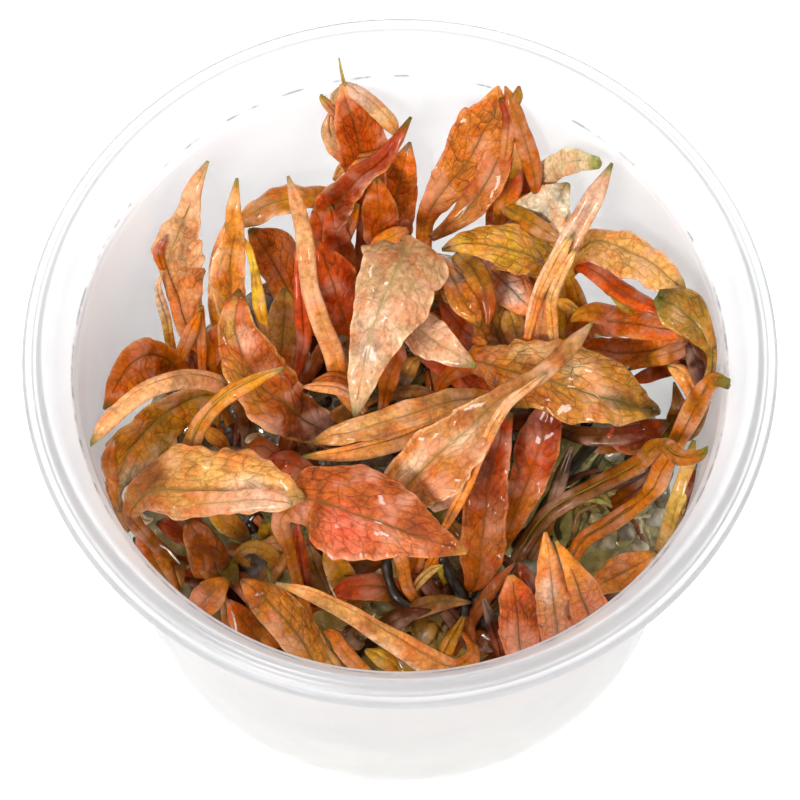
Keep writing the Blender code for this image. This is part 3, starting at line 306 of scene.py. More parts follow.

# Small leaves and leaf bits between the others: skin, near and far flesh colour, which hold
# painted light and shade as above, lifts and stations as above. Their first station is in the gel
# or under another leaf
SMALL_LEAVES = {
    "yellow_strip": ("pale", "#B8810D", "#CFAA30", (0.5, 0.5), (
        (268, 352, 46, 3), (264, 330, 50.5, 5), (260, 308, 53, 7), (256, 284, 54, 5, 6), (253, 264, 54, 4),
        (248, 248, 54, 3, 4), (242, 236, 54, 1))),
    "red_strip": ("russet", "#CA4E0D", "#C54C0D", (0.4, 0.4), (
        (276, 432, 24, 4), (285, 405, 32, 5), (295, 378, 38, 5), (302, 354, 42, 6), (304, 335, 45, 8),
        (303, 316, 47, 9, 8), (301, 298, 49, 7, 6), (299, 275, 51, 5), (298, 256, 53, 3),
        (298, 238, 54, 1))),
    "orange_behind_spear": ("peach", "#E5AB10", "#E5B081", (0.1, 0.1), (
        (230, 372, 28, 6), (224, 345, 33, 8), (220, 315, 39, 11, 10), (218, 282, 44, 10, 11),
        (218, 256, 48, 7, 9), (222, 236, 51, 4, 6), (227, 220, 53, 1))),
    "stalk_left_one": ("peach", "#E5850D", "#E5850B", (0.5, 0.5), (
        (208, 400, 30, 4), (203, 375, 34, 4), (202, 350, 38, 5), (201, 328, 41, 5), (201, 306, 44, 3))),
    "stalk_left_two": ("peach", "#E58510", "#DD800D", (0.4, 0.4), (
        (166, 392, 30, 5), (173, 370, 34, 6), (183, 350, 38, 7), (192, 330, 42, 7), (200, 312, 45, 2))),
    "pale_strip_left": ("pale", "#E7BB33", "#E7CBB7", (0.2, 0.2), (
        (178, 372, 32, 4), (170, 342, 38, 5), (166, 318, 42, 6, 5), (160, 298, 46, 5), (158, 284, 49, 3),
        (162, 272, 51, 1))),
    "brown_behind_arc": ("russet", "#CB6009", "#CB620B", (0.0, 0.0), (
        (190, 398, 27, 6), (196, 376, 31, 14), (206, 354, 35, 17), (216, 336, 38, 10), (222, 322, 40, 2))),
    "pink_behind_cupped": ("ochre", "#A9530D", "#CE9744", (0.0, -0.1), (
        (275, 398, 28, 6), (278, 372, 33, 12), (282, 344, 38, 18, 16), (284, 320, 42, 18, 14),
        (285, 302, 45, 12, 10), (284, 288, 47, 2))),
    "strip_beside_pale": ("ochre", "#B96513", "#AB540D", (0.1, 0.1), (
        (380, 418, 30, 4), (385, 398, 33, 6), (389, 378, 37, 11), (396, 358, 40, 12), (402, 342, 42, 3))),
    "thin_pointing_left": ("rose", "#E7BBA4", "#CA8550", (0.2, 0.2), (
        (364, 412, 40, 3), (352, 396, 45, 4), (336, 389, 47, 6), (318, 387, 47, 5), (302, 387, 46, 1))),
    "upper_pointing_left": ("russet", "#CB5111", "#CB6F27", (0.1, 0.1), (
        (360, 398, 38, 4), (348, 384, 43, 6), (330, 378, 45, 6), (312, 382, 45, 1))),
    "russet_under_patch": ("ochre", "#CE9C5C", "#CE8D3A", (0.0, 0.0), (
        (508, 366, 30, 6), (502, 346, 35, 16), (494, 326, 39, 22, 24), (484, 306, 42, 16, 20),
        (474, 292, 43, 3))),
    "brown_under_pair": ("russet", "#B5450D", "#CB520C", (0.0, 0.0), (
        (500, 352, 28, 6), (484, 346, 32, 14), (466, 332, 36, 16), (450, 314, 39, 10), (440, 302, 40, 2))),
    "patch_neighbour": ("ochre", "#CE6709", "#CE7B09", (0.0, -0.2), (
        (560, 348, 30, 6), (552, 326, 36, 12), (540, 304, 40, 15), (524, 284, 43, 14), (508, 270, 44, 3))),
    "red_fold_right_back": ("russet", "#CB530C", "#CB580C", (-0.3, 0.3), (
        (560, 290, 42, 5), (578, 267, 48, 6), (595, 273, 51, 9), (615, 287, 53.5, 10),
        (636, 301, 56, 10, 9), (655, 310, 57, 5), (662, 316, 57, 2))),
    "pale_fold_back": ("pale", "#B9AB6F", "#D9D1C3", (0.0, 0.2), (
        (530, 272, 34, 12), (524, 244, 42, 22, 20), (538, 218, 48, 27, 25), (554, 200, 53, 20),
        (568, 184, 57, 3))),
    "olive_curl_right": ("olive", "#BF750B", "#BF7F0B", (0.4, 0.2), (
        (592, 340, 34, 5), (584, 318, 38, 7), (577, 298, 43, 8), (571, 282, 46, 6), (566, 270, 47, 1))),
    "olive_dark_right": ("olive", "#BFAD1A", "#74450D", (0.1, 0.1), (
        (662, 462, 26, 5), (668, 442, 33, 9), (676, 424, 38, 11), (680, 408, 41, 10, 9), (677, 395, 44, 5),
        (674, 382, 46, 1))),
    "pink_bit_right": ("rose", "#DD8C39", "#E3A25C", (0.1, 0.1), (
        (700, 420, 49, 3), (696, 402, 49, 6), (690, 386, 48, 9, 8), (680, 372, 48, 9, 8),
        (668, 366, 48, 2))),
    "brown_under_glossy": ("dark", "#6F2C0D", "#953F08", (0.0, 0.0), (
        (706, 366, 54, 4), (688, 364, 46, 7, 8), (664, 370, 42, 8, 9), (642, 378, 40, 6),
        (626, 382, 39, 1))),
    "dark_inner_right": ("dark", "#4B1B0D", "#41170B", (0.0, 0.0), (
        (708, 404, 57, 4), (703, 386, 56, 8), (698, 366, 55, 10), (692, 350, 53, 7), (688, 340, 52, 2))),
    "brown_low_right": ("dark", "#954C0A", "#55200D", (0.0, 0.0), (
        (610, 508, 24, 5), (632, 494, 28, 14, 12), (652, 478, 31, 14, 12), (668, 462, 34, 4))),
    "red_wall_strip": ("russet", "#C85B25", "#5A1E0D", (0.2, 0.2), (
        (656, 582, 24, 3), (668, 562, 30, 4), (678, 540, 37, 5), (688, 512, 43, 6, 5),
        (696, 486, 47, 5, 4), (700, 464, 50, 1))),
    "brown_behind_centre": ("dark", "#955F08", "#40270D", (0.0, 0.0), (
        (528, 566, 23, 4), (541, 540, 27, 7), (552, 508, 31, 7), (562, 474, 35, 7), (572, 446, 38, 2))),
    "red_under_salmon": ("russet", "#CB7509", "#C54C0D", (-0.1, 0.1), (
        (408, 598, 23, 5), (392, 590, 26, 12), (368, 586, 29, 15, 13), (345, 590, 30, 10),
        (330, 596, 30, 2))),
    "amber_under_salmon": ("pale", "#E7A30B", "#E4A10D", (0.0, 0.0), (
        (352, 604, 24, 6), (346, 586, 27, 14, 12), (338, 568, 30, 15, 13), (330, 552, 32, 8),
        (326, 542, 33, 2))),
    "brown_by_stalk": ("dark", "#956827", "#95680E", (0.0, 0.0), (
        (330, 600, 24, 6), (322, 582, 27, 12, 10), (314, 562, 30, 12, 10), (308, 545, 32, 3))),
    "red_stalk_beside": ("russet", "#7A2C0D", "#CB5413", (0.4, 0.4), (
        (312, 610, 24, 6), (305, 585, 29, 8), (300, 560, 34, 8), (297, 540, 38, 7), (296, 520, 42, 2))),
    "orange_by_ring": ("russet", "#CB4F09", "#CB7415", (0.3, 0.3), (
        (410, 606, 22, 3), (410, 592, 25, 6), (413, 576, 28, 8, 7), (418, 560, 31, 7), (424, 546, 33, 2))),
    "orange_by_ring_two": ("peach", "#E4890D", "#E0820D", (0.2, 0.2), (
        (420, 596, 23, 3), (426, 578, 28, 5), (434, 560, 32, 6), (442, 546, 34, 1))),
    "olive_by_ring": ("olive", "#BF9F08", "#BFAD29", (0.1, 0.1), (
        (456, 598, 23, 4), (451, 582, 27, 8, 7), (444, 566, 31, 8, 7), (438, 552, 33, 2))),
    "orange_stub_front": ("peach", "#E09A24", "#B87D1E", (0.2, 0.2), (
        (446, 650, 22, 8), (452, 638, 25, 7), (459, 626, 28, 5), (464, 616, 30, 2))),
    "curled_front": ("peach", "#E4870D", "#DF8521", (0.6, 0.6), (
        (368, 676, 24, 7), (352, 660, 27, 8), (340, 646, 30, 8), (332, 634, 32, 6), (322, 630, 33, 2))),
    "yellow_bit_front": ("pale", "#C98E0D", "#E7B738", (0.2, 0.2), (
        (398, 672, 22, 5), (388, 662, 24, 9, 8), (376, 655, 26, 8, 7), (365, 650, 27, 2))),
    "orange_sliver_front": ("ochre", "#CE9C3D", "#CE9137", (0.3, 0.3), (
        (346, 682, 24, 6), (332, 664, 28, 8), (322, 648, 31, 6), (318, 634, 33, 2))),
    "brown_beside_front_left": ("ochre", "#CE832E", "#CE670C", (0.0, -0.1), (
        (284, 668, 23, 8), (268, 650, 26, 13), (250, 630, 29, 15, 14), (236, 612, 32, 10),
        (228, 600, 33, 2))),
    "pink_strip_front_left": ("rose", "#E7943F", "#9D5C0D", (0.3, 0.3), (
        (242, 656, 22, 6), (234, 636, 25, 8, 7), (228, 618, 28, 7, 6), (225, 602, 31, 4),
        (224, 592, 32, 1))),
    "flap_lower_left": ("ochre", "#CE6D0D", "#A8530D", (0.1, -0.2), (
        (206, 590, 24, 6), (204, 572, 28, 12, 10), (202, 552, 33, 15, 14), (196, 534, 37, 14, 15),
        (186, 520, 39, 4))),
    "flap_far_left": ("ochre", "#CE820B", "#CE670D", (0.1, 0.0), (
        (176, 594, 24, 6), (164, 576, 28, 13, 12), (152, 556, 32, 13), (144, 538, 36, 9, 10),
        (140, 524, 39, 3))),
    "amber_by_lump": ("pale", "#9C7236", "#E7AB26", (0.1, 0.1), (
        (248, 540, 26, 5), (238, 530, 31, 10, 9), (224, 520, 35, 13, 10), (208, 512, 38, 3))),
    "olive_by_lump": ("olive", "#BFAD2E", "#BFA026", (0.0, 0.0), (
        (278, 566, 24, 6), (274, 550, 27, 12), (269, 534, 30, 12), (266, 520, 33, 5))),
    "green_bit_lower_left": ("olive", "#3B210D", "#BF750B", (0.0, 0.0), (
        (228, 590, 23, 4), (220, 580, 26, 8), (208, 572, 28, 8), (198, 566, 29, 2))),
    "orange_behind_fold": ("russet", "#CB8048", "#CB4F0C", (0.1, 0.1), (
        (352, 300, 28, 6), (346, 275, 34, 14, 12), (340, 250, 41, 16, 14), (334, 226, 47, 12, 10),
        (330, 206, 51, 2))),
    "brown_behind_hood": ("russet", "#9B410D", "#BE5B0D", (0.1, 0.1), (
        (392, 296, 30, 6), (388, 262, 38, 14), (382, 226, 45, 20, 18), (378, 196, 51, 14),
        (376, 176, 54, 2))),
    "stem_back_one": ("peach", "#BE6E0D", "#D97E0E", (0.5, 0.5), (
        (334, 290, 28, 5), (338, 262, 35, 6), (345, 240, 41, 6), (353, 220, 46, 5), (358, 204, 49, 2))),
    "cream_chip_centre": ("pale", "#34280D", "#AE7A31", (0.0, 0.0), (
        (404, 384, 42, 4), (408, 374, 44, 8), (413, 364, 45, 8, 7), (420, 358, 45, 2))),
    "pink_triangle": ("rose", "#E78A2F", "#CC7A2A", (0.0, 0.0), (
        (472, 336, 44, 2), (478, 341, 45, 5), (487, 344, 45, 1.5))),
    "yellow_tip_right": ("olive", "#BF8B25", "#BFA835", (0.0, 0.0), (
        (632, 312, 48, 4), (624, 306, 50, 5), (616, 300, 51, 3), (611, 296, 51.5, 1))),
    "pinkish_band_right": ("ochre", "#934B0D", "#CE8325", (0.0, -0.1), (
        (700, 336, 55, 4), (684, 348, 50, 8), (664, 356, 46, 9, 8), (645, 362, 44, 6), (628, 370, 43, 1))),
    "bulb_leaf_right": ("russet", "#170A03", "#1A0C04", (0.2, 0.2), (
        (640, 506, 30, 5), (652, 492, 34, 8), (660, 477, 37, 12), (665, 464, 40, 9), (668, 454, 42, 2))),
    "white_bit_left": ("pale", "#E7DFCF", "#E7DFCF", (0.3, 0.3), (
        (128, 510, 42, 3), (137, 517, 41, 6), (147, 521, 39, 4), (153, 519, 38, 1))),
    "dark_spike_left": ("dark", "#59220D", "#81350D", (0.2, 0.2), (
        (124, 514, 38, 2), (131, 523, 37, 5), (139, 530, 35.5, 6), (146, 534, 34, 3))),
    "brown_far_left": ("russet", "#CB7F18", "#B5660D", (0.0, 0.0), (
        (126, 530, 34, 5), (116, 508, 40, 8), (110, 482, 46, 9), (109, 458, 50, 8), (113, 440, 53, 2))),
    "olive_over_lump": ("olive", "#B08132", "#BF8527", (0.2, -0.2), (
        (234, 566, 27, 3), (240, 553, 30, 5), (253, 547, 31.5, 7), (267, 552, 31, 8), (277, 563, 29, 6),
        (282, 573, 27, 2))),
    "dark_front_strip": ("dark", "#95400D", "#250D05", (0.1, 0.1), (
        (502, 660, 24, 4), (497, 640, 28, 6), (490, 617, 31, 6), (483, 598, 33, 2))),
    # A pale sliver laid along the white slit of light on the wet gel lens: a painted highlight
    "glint_slit_sheet": ("pale", "#E7B355", "#E7C36A", (0.2, 0.2), (
        (413, 598, 27, 2), (416, 587, 29, 4), (424, 577, 31, 5), (434, 569, 32, 4), (443, 565, 33, 1))),
    "dark_band_under_veined": ("dark", "#5A340D", "#60250D", (0.0, 0.0), (
        (556, 430, 34, 6), (585, 436, 36, 9), (620, 436, 37, 10), (650, 430, 38, 8), (668, 424, 39, 2))),
    "dark_by_red_front": ("dark", "#531F0D", "#8D3E0D", (0.0, 0.0), (
        (538, 598, 26, 4), (530, 585, 29, 8), (524, 573, 31, 7), (520, 562, 32, 2))),
    "russet_top_right": ("russet", "#CA500D", "#CB800D", (0.0, 0.0), (
        (632, 322, 42, 6), (612, 316, 45, 11), (592, 313, 46, 10), (578, 316, 46, 6), (570, 322, 46, 1))),
    "pale_chip_back": ("pale", "#E7B548", "#E7A637", (0.0, 0.0), (
        (578, 312, 43, 3), (570, 308, 44, 6), (562, 304, 45, 6), (556, 300, 45, 1))),
    "ochre_below_patch": ("ochre", "#CE9C60", "#CE9547", (0.0, 0.0), (
        (520, 350, 36, 6), (516, 334, 39, 12), (512, 320, 41, 12), (508, 308, 42, 4))),
    "pinkish_bit_left": ("rose", "#C6760D", "#E79532", (0.0, 0.0), (
        (228, 448, 36, 3), (220, 441, 38, 7), (211, 434, 39, 7), (204, 428, 40, 2))),
    "orange_wedge_left": ("russet", "#CB8009", "#CB660B", (0.0, 0.0), (
        (280, 462, 34, 4), (270, 452, 37, 9), (258, 447, 39, 9), (246, 450, 39, 3))),
    "cream_chip_left": ("pale", "#E7DCBB", "#A0701F", (0.0, 0.0), (
        (246, 442, 34, 2), (252, 439, 35, 5), (259, 438, 35, 4), (264, 440, 35, 1))),
    "red_under_band": ("russet", "#90360D", "#C8510D", (0.0, 0.0), (
        (318, 486, 34, 5), (302, 470, 37, 11), (286, 462, 38, 12), (272, 462, 37, 6), (262, 466, 36, 1))),
    "green_thread_back": ("olive", "#74683A", "#BFAD63", (0.2, 0.2), (
        (345, 100, 63, 2), (344, 84, 65.5, 2), (341, 70, 67, 1.6), (339, 58, 68.5, 0.8))),
    "brown_behind_red_front": ("dark", "#8A3C14", "#954419", (0.0, 0.0), (
        (524, 560, 22, 6), (532, 550, 24, 8), (542, 546, 25, 5), (550, 545, 26, 1))),
    "red_curl_under_veined": ("russet", "#98390D", "#CB8047", (0.0, 0.0), (
        (608, 432, 37, 6), (622, 440, 36, 12), (640, 444, 35, 11), (654, 440, 35, 2))),
}

# Lobes: folded-over parts of some leaves, as skin, near and far colour, which hold painted light
# and shade as above, lifts and stations
LOBES = {
    "hooded_back": (
        ("rose", "#CF9F66", "#B89482", (0.3, 0.0), (
            (396, 134, 57, 3), (390, 124, 59.5, 8), (379, 111, 61.5, 9, 8), (366, 100, 63, 8),
            (353, 91, 64.3, 7), (344, 84, 65, 3))),
        ("peach", "#E5B081", "#B88B65", (0.2, 0.2), (
            (356, 166, 51, 4), (345, 156, 54, 9), (335, 142, 57, 11), (329, 126, 59.5, 8),
            (331, 110, 61.5, 1.5))),
        ("peach", "#E59E55", "#A8600D", (0.4, 0.1), (
            (334, 180, 50, 2), (342, 168, 52, 5), (357, 160, 54, 5), (374, 155, 55, 5, 4),
            (386, 148, 56, 1))),
        ("olive", "#A56422", "#A3823A", (0.0, 0.0), (
            (336, 114, 61, 5), (328, 105, 62, 5), (322, 97, 63, 3), (320, 90, 63.5, 1))),
        ("pale", "#B4956E", "#868178", (0.0, 0.0), (
            (334, 104, 62, 3), (336, 93, 63.2, 6), (346, 87, 64.2, 5, 4), (357, 85, 65, 1))),
    ),
    "big_back_right": (
        ("salmon", "#B16F33", "#B76526", (0.0, 0.0), (
            (432, 238, 45, 4), (452, 224, 48.5, 8, 9), (477, 198, 52, 15, 17), (495, 166, 56, 15, 16),
            (507, 132, 60, 10, 11), (514, 104, 62.5, 2))),
        ("salmon", "#B25F10", "#A15E1A", (-0.2, 0.0), (
            (536, 192, 52, 4), (533, 170, 56, 9), (527, 148, 59.5, 10), (520, 127, 62.3, 8),
            (514, 110, 64.2, 8), (509, 96, 65.6, 5), (505, 86, 66.2, 1))),
        ("russet", "#C17944", "#8D340D", (0.0, 0.0), (
            (505, 160, 58, 5), (508, 135, 61.2, 7), (508, 115, 63.8, 6), (501, 98, 65.6, 3))),
        ("pale", "#8D620D", "#CD9256", (0.0, 0.0), (
            (506, 178, 53, 5), (513, 163, 56.5, 11), (518, 148, 59, 11), (521, 134, 61, 2))),
        ("russet", "#CA7F14", "#B3450D", (0.0, 0.0), (
            (500, 222, 45, 7), (506, 200, 48.5, 12), (512, 180, 51.5, 13, 12), (518, 162, 54, 4))),
        ("olive", "#945B0D", "#93680D", (0.0, 0.0), (
            (514, 104, 64.5, 6), (518, 94, 65.8, 5), (519, 86, 66.5, 1.5))),
    ),
    "back_left_spear": (
        ("russet", "#BF681D", "#95380D", (0.4, 0.4), (
            (163, 268, 49, 4), (159, 256, 51.5, 6, 5), (161, 244, 54, 4), (166, 236, 55, 1))),
    ),
    "forked_spike": (
        ("rose", "#E6904A", "#D7A86B", (0.3, 0.3), (
            (526, 342, 46.5, 4), (533, 318, 49.5, 4), (541, 292, 54.5, 5), (553, 268, 58.5, 6),
            (563, 250, 61, 6), (572, 236, 62, 2))),
        ("rose", "#E7AC63", "#DDB380", (0.3, 0.3), (
            (554, 343, 46.5, 5), (552, 318, 49.5, 6), (552, 298, 53.5, 6), (560, 278, 57.5, 6, 5),
            (568, 262, 60, 5), (575, 250, 61.5, 2))),
    ),
    "folded_front_right": (
        ("salmon", "#DA6C33", "#DA8427", (0.0, 0.2), (
            (600, 650, 30, 12), (592, 625, 36, 20), (582, 598, 42, 14, 22), (571, 570, 48, 8, 12),
            (556, 541, 51.5, 1.5))),
    ),
    "olive_blunt_right": (
        ("russet", "#CB8044", "#C34B0D", (0.0, 0.0), (
            (717, 366, 59, 4, 5), (712, 352, 61, 6, 5), (703, 343, 62.3, 5, 4), (696, 338, 63, 2))),
        ("peach", "#62360D", "#62360D", (0.0, 0.0), (
            (718, 378, 56.5, 4), (710, 364, 58.5, 4), (700, 350, 60, 4), (690, 338, 61.5, 2))),
    ),
    "rolled_tip": (
        ("rose", "#DC862F", "#C69767", (0.4, 0.4), (
            (445, 527, 46, 4), (455, 508, 48.5, 6), (466, 487, 51, 6), (476, 463, 53.5, 6),
            (487, 440, 56, 6), (497, 420, 58.5, 6), (510, 402, 60, 6, 5), (528, 388, 60.5, 4),
            (545, 374, 61.5, 2))),
        ("rose", "#E7BBA4", "#E7BBA4", (0.0, 0.0), (
            (432, 508, 46.5, 6), (446, 494, 48.5, 15), (458, 475, 50.8, 11), (467, 460, 52.5, 2))),
    ),
    "folded_pair_centre": (
        ("ochre", "#CE9C37", "#9B4C0D", (0.0, -0.2), (
            (458, 256, 44, 8), (472, 268, 47, 13, 12), (482, 288, 48, 12, 10), (488, 310, 47, 8, 6),
            (487, 327, 46, 1))),
    ),
    "pale_orange_left": (
        ("rose", "#D68435", "#CDA591", (0.1, 0.0), (
            (150, 503, 48, 8), (185, 505, 51, 13), (225, 503, 53, 12, 11), (260, 501, 54, 12, 10),
            (284, 503, 54.5, 7, 6), (293, 504, 54.5, 2))),
    ),
    "pale_yellow": (
        ("olive", "#BF8625", "#97620D", (0.0, 0.0), (
            (500, 204, 46, 5), (515, 213, 48.5, 9), (532, 224, 50, 10, 9), (548, 234, 50.5, 8),
            (562, 242, 50.5, 2))),
    ),
    "orange_flank_back": (
        ("peach", "#E58527", "#D07C0D", (0.0, 0.0), (
            (372, 252, 44, 5), (382, 243, 46, 9), (396, 236, 47, 9), (408, 230, 47, 3))),
    ),
}

# Patches of another colour on a leaf, and some near-white ones that are painted highlights of the
# wet film: place along (0 to 1) and across (-1 to 1), half length and half breadth in the same
# measures, colour, and strength
PATCHES_AND_HIGHLIGHTS = {
    # Painted highlight: the near-white patch on glossy_patch
    "glossy_patch": ((0.86, 0.1, 0.07, 0.6, "#E2CCC8", 0.9),),
    "large_veined_right": (
        (0.76, -0.45, 0.05, 0.3, "#E2C7A0", 0.6), (0.62, -0.6, 0.06, 0.3, "#DEBE8C", 0.6),
        (0.89, 0.05, 0.06, 0.35, "#3C3A14", 0.8), (0.97, 0.1, 0.03, 0.8, "#2E2E10", 0.8),
        (0.72, 0.6, 0.14, 0.4, "#B4642C", 0.5)),
    "cupped_brown": (
        # The pinkish-white patch at 0.84 is a painted glint
        (0.9, -0.3, 0.07, 0.4, "#C2A458", 0.6), (0.84, 0.3, 0.05, 0.35, "#DDAE9C", 0.6),
        (0.45, 0.5, 0.12, 0.6, "#5A2408", 0.6), (0.72, -0.5, 0.1, 0.4, "#A8842E", 0.5)),
    "rolled_tip": (
        # The two near-white patches at 0.52 and 0.64 are painted highlights
        (0.52, -0.35, 0.05, 0.3, "#EED8C4", 0.6), (0.64, 0.1, 0.05, 0.3, "#EAD2BC", 0.5),
        (0.46, 0.1, 0.05, 0.5, "#A8642E", 0.5), (0.56, 0.7, 0.07, 0.3, "#B0602C", 0.5)),
    "folded_front_right": ((0.72, -0.25, 0.1, 0.5, "#F0CDBC", 0.7),),
    "folded_pair_centre": ((0.75, -0.5, 0.05, 0.35, "#EADFCB", 0.6),),
    "narrow_left_pointing": (
        (0.58, 0.3, 0.09, 0.9, "#5A300E", 0.55), (0.82, 0.2, 0.1, 0.5, "#C8A05C", 0.4)),
    "pale_orange_left": (
        # The near-white patch along the midrib at 0.85 is a painted highlight
        (0.85, 0.0, 0.08, 0.4, "#F6EADC", 0.6), (0.57, -0.5, 0.04, 0.5, "#8A3414", 0.6),
        (0.7, -0.45, 0.06, 0.4, "#D8B268", 0.5)),
    "olive_left": (
        (0.9, -0.5, 0.1, 0.4, "#9AA08C", 0.7), (0.7, -0.7, 0.12, 0.3, "#8E8A50", 0.55),
        (0.5, 0.3, 0.12, 0.6, "#8A5416", 0.5)),
    "salmon_front": (
        (0.72, 0.4, 0.07, 0.5, "#DC6E5C", 0.6), (0.86, 0.5, 0.05, 0.4, "#E0906C", 0.5),
        (0.6, -0.6, 0.06, 0.4, "#A04A20", 0.5)),
    "central_pale": (
        # The pinkish-white patch at 0.82 is a painted highlight
        (0.48, -0.3, 0.08, 0.6, "#B58450", 0.5), (0.82, 0.0, 0.1, 0.8, "#E8C6BA", 0.5)),
    "red_orange_centre": (
        (0.9, 0.0, 0.1, 1.2, "#6E240C", 0.7), (0.5, 0.4, 0.1, 0.6, "#C87A2C", 0.4)),
    "vertical_brown": (
        (0.5, 0.5, 0.12, 0.5, "#B87850", 0.5), (0.75, -0.4, 0.1, 0.6, "#6E4A3C", 0.5)),
}

# Half width of the midrib, and how many times finer the second net of veins is
RIB_HALF_WIDTH = 0.00025
NETS_RATIO = 2.7

# Low leaf bits: looks in turn, whose dark colours are partly the old bits' own and partly
# painted shade of the depth between the stalks, how far from the axis they stand, and the place
# in the picture and the radius of the window where the bare gel shows
LOW_LOOKS = (
    ("dark", "#5A2A0C", "#7A3A12"), ("russet", "#8A3C12", "#A8561C"),
    ("olive", "#5E4A18", "#7E6C2C"), ("ochre", "#8A5420", "#A8702C"),
    ("dark", "#3A1C0A", "#5A3010"), ("russet", "#9A4A18", "#B8642A"),
    ("ochre", "#7A4A1C", "#B07C40"),
)
LOW_REACH = 0.0335
GEL_WINDOW = (606, 512)
WINDOW_RADIUS = 0.0095

# Gel crumbs: how far from the axis they lie
CRUMB_REACH = 0.036

# Seeds: two generators, and where the numbers of small leaves, lobes and low bits start
LOW_SEED = 7
CRUMB_SEED = 11
SMALL_SEEDS = 100
LOBE_SEEDS = 300
LOW_BIT_SEEDS = 900

# Lumps of gel: place in the picture, height and radii in mm, colour
GEL_LUMPS = (
    (258, 568, 25, 3.4, 3.2, 3.0, "#7E6A5C"), (254, 524, 29, 1.7, 1.5, 1.6, "#3A2010"),
    (362, 632, 24, 2.2, 1.5, 1.5, "#A8702C"), (398, 624, 24, 1.9, 1.6, 1.4, "#A87A2C"),
    (425, 630, 24.5, 2.1, 1.9, 1.7, "#B8883A"), (448, 628, 24, 1.3, 1.2, 1.2, "#9A7030"),
    (484, 642, 24, 2.3, 1.9, 1.6, "#8E4A14"), (435, 590, 26, 1.9, 1.6, 1.4, "#7A4A14"),
    (612, 453, 28, 1.3, 1.1, 1.1, "#E8DFC0"), (525, 567, 23, 2.6, 1.6, 1.4, "#C8C8A8"),
    (598, 521, 23, 1.5, 1.2, 1.0, "#D8C890"), (607, 543, 23, 1.4, 1.1, 1.0, "#C8C0A0"),
    (627, 532, 23, 1.3, 1.3, 1.1, "#D8D0B8"), (656, 517, 24, 1.7, 1.4, 1.2, "#D0CDB8"),
    (640, 547, 23, 1.2, 1.0, 0.9, "#D8D0B0"), (563, 560, 22, 1.6, 1.2, 1.0, "#B8BC90"),
    (350, 640, 23.5, 2.3, 1.6, 1.5, "#A87A4C"), (384, 607, 23.5, 2.0, 1.2, 1.1, "#9A8E58"),
    (636, 452, 27, 1.5, 0.9, 0.8, "#DAD2B4"), (470, 640, 24, 1.0, 1.3, 1.0, "#6E7050"),
)

# Stains and painted shade of the gel's top: place in the picture, reach in mm and colour. The
# near-black spots, under the leaves and in the hollows between them, are painted shade
GEL_STAINS_AND_SHADE = (
    (600, 500, 7, "#9A8434"), (640, 530, 4, "#B8AC70"), (545, 565, 4, "#8E8A4C"), (575, 530, 4, "#5A5218"),
    (660, 500, 4, "#7A5A20"), (622, 520, 2.5, "#C8BE84"), (250, 545, 6, "#5A5020"),
    (430, 635, 6, "#9A6A20"), (340, 625, 7, "#6E4A14"), (460, 600, 5, "#1E1408"), (230, 560, 4, "#1C1608"),
    (600, 440, 6, "#2C280C"), (200, 595, 5, "#6E4A18"), (620, 600, 6, "#8A6A28"), (400, 400, 9, "#2A1C0A"),
    (300, 400, 9, "#3A220C"), (520, 420, 8, "#34200C"),
)

